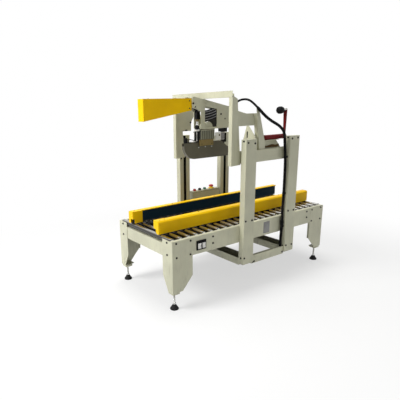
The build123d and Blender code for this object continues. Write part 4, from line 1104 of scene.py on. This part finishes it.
class SEALER_OT_lever(bpy.types.Operator):
    """Height lock lever: lobed knob, pale caps, a white band that is a cap and a painted highlight on the
    lever's top, and the shaft's collars
    """

    bl_idname = "sealer.lever"
    bl_label = "Lock lever"

    KNOB = 0.056
    LOBES = 8
    PROFILE = ((0.3, 0.0), (0.72, 0.001), (0.93, 0.006), (1.0, 0.014), (1.0, 0.042), (0.92, 0.05),
               (0.7, 0.0555), (0.4, KNOB))
    TOP_CAP = [(0.0155, 0.0), (0.0155, 0.0016), (0.012, 0.003), (0.004, 0.0036)]
    HUB_CAP = [(0.0145, 0.0), (0.0145, 0.002), (0.006, 0.003)]
    COLLAR = [(0.0222, 0.0), (0.0232, 0.0008), (0.0232, 0.0062), (0.0222, 0.007)]

    def execute(self, context):
        """The knob's radius is share * (1 - 0.055 * (0.5 - 0.5 cos(8 a))^2) round the angle a."""
        low, high = box_of("lever_grip")
        y, z = (low[1] + high[1]) / 2, (low[2] + high[2]) / 2
        radius = (high[2] - low[2]) / 2 + 0.002
        share, s = np.array(self.PROFILE).T
        angle = np.arange(64) / 64 * TURN
        lobes = 1.0 - 0.055 * (0.5 - 0.5 * np.cos(self.LOBES * angle)) ** 2
        reach = radius * share[:, None] * np.where(share[:, None] > 0.6, lobes, 1.0)
        x = np.broadcast_to(low[0] + s[:, None], reach.shape)
        rings = np.stack([x, y + reach * np.cos(angle), z + reach * np.sin(angle)], -1)
        stem = [(0.013, 0.0), (0.0125, 0.012), (0.0125, 0.024), (0.014, high[0] - low[0] - self.KNOB)]
        neck = lathe(stem, (low[0] + self.KNOB, y, z), (1, 0, 0), 28)
        solid("lever_knob", [closed(rings), neck], "black_plastic", "lever", 45.0, replaces=("lever_grip",))
        low, high = box_of("lock_lever")
        # the white band round the lever's top is a pale cap and also a painted highlight, made large to show
        # the highlight there
        highlight_band = ((low[0] - 0.001, y - 0.016, high[2] - 0.017), (high[0] + 0.001, y + 0.016, high[2] + 0.001))
        caps = [lathe(self.TOP_CAP, (high[0], y, z), (1, 0, 0), 28),
                lathe(self.HUB_CAP, (high[0], y, LEVER_Z), (1, 0, 0), 28), slab(*highlight_band, 0.003)]
        solid("lever_caps_and_highlight", caps, "white_plastic", "lever", 35.0)
        low, high = box_of("lever_shaft")
        collars = [lathe(self.COLLAR, (x, y, LEVER_Z), (1, 0, 0), 36)
                   for x in (low[0] + 0.012, high[0] - 0.02)]
        solid("shaft_collars", collars, "lever_paint", "head", 35.0)
        return {"FINISHED"}


class SEALER_OT_stage(bpy.types.Operator):
    """The pale floor, soft lights and the camera at the photograph's angle"""

    bl_idname = "sealer.stage"
    bl_label = "Stage"

    SHOWN = ("Is Camera Ray", "Is Glossy Ray", "Is Transmission Ray")
    FLOOR = 14.0
    WHITE = (1.0, 1.0, 1.0)
    LAMPS = (("key_light", (-4.6, 0.9, 4.3), 2.2, 250.0), ("top_light", (0.2, 0.6, 4.8), 3.0, 140.0),
             ("front_light", (-1.5, -5.0, 3.2), 3.0, 22.0))
    WORLD = 0.27
    AIM = (0.0, 0.0, 0.8)
    PIXELS = 400.0
    FOCAL = 399.52
    MIDDLE = (159.35, 218.91)
    YAW, PITCH, ROLL = 33.6, 15.48, -1.65
    PLACE = (-2.7726, -2.9358, 1.6714)

    def execute(self, context):
        self.floor()
        self.world()
        self.light()
        self.camera()
        return {"FINISHED"}

    def seen(self, nodes):
        """1 for the rays that show the background, by the eye or in a reflection, and 0 for light."""
        rays = nodes.add("ShaderNodeLightPath")
        camera, glossy, transmission = (rays.other(kind) for kind in self.SHOWN)
        return camera | glossy | transmission

    def floor(self):
        """Seen rays meet a share of white glow that grows with the distance from the machine."""
        look = Look("pale_floor")
        look.finish(Base_Color=(0.86, 0.86, 0.85), Roughness=0.9, Specular_IOR_Level=0.1)
        glow = look.add("ShaderNodeEmission", None, {"Color": self.WHITE, "Strength": 1.0})
        radius = (look.x * look.x + look.y * look.y).power(0.5)
        share = self.seen(look) * (radius.above(1.3, 3.4) * 0.42 + 0.58)
        mixed = look.add("ShaderNodeMixShader", None, {0: share, 1: look.shader, 2: glow})
        look.feed(look.out.node.inputs[0], mixed)
        mesh = bpy.data.meshes.new("floor")
        corners = rectangle((-self.FLOOR, self.FLOOR), (-self.FLOOR, self.FLOOR))
        mesh.from_pydata([(x, y, 0.0) for x, y in corners], [], [(0, 1, 2, 3)])
        floor = bpy.data.objects.new("floor", mesh)
        bpy.context.scene.collection.objects.link(floor)
        mesh.materials.append(look.material)

    def world(self):
        """Plain soft light, and pure white where the background is seen."""
        world = bpy.data.worlds.new("studio")
        bpy.context.scene.world = world
        world.use_nodes = True
        nodes = Nodes(world.node_tree)
        lit, shown = (nodes.add("ShaderNodeBackground", None, {"Color": self.WHITE, "Strength": strength})
                      for strength in (self.WORLD, 1.0))
        mixed = nodes.add("ShaderNodeMixShader", None, {0: self.seen(nodes), 1: lit, 2: shown})
        nodes.add("ShaderNodeOutputWorld", None, {0: mixed})

    def light(self):
        """Each lamp's disc faces the aim: it leans from straight down by the angle to the aim's line,
        and turns by that line's bearing."""
        for name, place, size, power in self.LAMPS:
            data = bpy.data.lights.new(name, "AREA")
            data.shape = "DISK"
            data.size = size
            data.energy = power
            lamp = bpy.data.objects.new(name, data)
            bpy.context.scene.collection.objects.link(lamp)
            aim = np.array(self.AIM) - np.array(place)
            lean = math.acos(-aim[2] / np.linalg.norm(aim))
            lamp.location = place
            lamp.rotation_euler = (lean, 0.0, math.atan2(aim[1], aim[0]) - TURN / 4)

    def camera(self):
        """Focal length and middle are in pixels of the 400 pixel picture, the three turns in degrees."""
        data = bpy.data.cameras.new("view")
        data.sensor_width = 36.0
        data.lens = self.FOCAL / self.PIXELS * data.sensor_width
        data.shift_x = (self.PIXELS / 2 - self.MIDDLE[0]) / self.PIXELS
        data.shift_y = (self.MIDDLE[1] - self.PIXELS / 2) / self.PIXELS
        yaw, pitch, roll = (math.radians(angle) for angle in (self.YAW, self.PITCH, self.ROLL))
        turn = Matrix.Rotation(-yaw, 4, "Z") @ Matrix.Rotation(TURN / 4 - pitch, 4, "X")
        camera = bpy.data.objects.new("view", data)
        camera.matrix_world = Matrix.Translation(self.PLACE) @ turn @ Matrix.Rotation(roll, 4, "Z")
        bpy.context.scene.collection.objects.link(camera)
        bpy.context.scene.camera = camera
        bpy.context.scene.view_settings.view_transform = "Standard"


OPERATORS = (
    SEALER_OT_finishes, SEALER_OT_rollers, SEALER_OT_bed, SEALER_OT_feet, SEALER_OT_posts, SEALER_OT_guards,
    SEALER_OT_controls, SEALER_OT_conduit, SEALER_OT_head, SEALER_OT_tape, SEALER_OT_cylinder, SEALER_OT_arm,
    SEALER_OT_lever, SEALER_OT_stage)


class SEALER_PT_panel(bpy.types.Panel):
    """Lists the colours, the sizes and a button for each group of pieces"""

    bl_idname = "SEALER_PT_panel"
    bl_label = "Carton sealer"
    bl_space_type = "VIEW_3D"
    bl_region_type = "UI"
    bl_category = "Carton sealer"

    def draw(self, context):
        for group in (context.scene.sealer_paint, context.scene.sealer_sizes):
            for name in group.__annotations__:
                self.layout.prop(group, name)
        for piece in OPERATORS:
            self.layout.operator(piece.bl_idname)


CLASSES = (SealerPaint, SealerSizes, *OPERATORS, SEALER_PT_panel)


def register():
    for item in CLASSES:
        bpy.utils.register_class(item)
    bpy.types.Scene.sealer_paint = PointerProperty(type=SealerPaint)
    bpy.types.Scene.sealer_sizes = PointerProperty(type=SealerSizes)


def unregister():
    del bpy.types.Scene.sealer_sizes
    del bpy.types.Scene.sealer_paint
    for item in reversed(CLASSES):
        bpy.utils.unregister_class(item)


def main():
    """Builds the whole scene."""
    register()
    for piece in OPERATORS:
        group, name = piece.bl_idname.split(".")
        getattr(getattr(bpy.ops, group), name)()


if __name__ == "__main__":
    main()
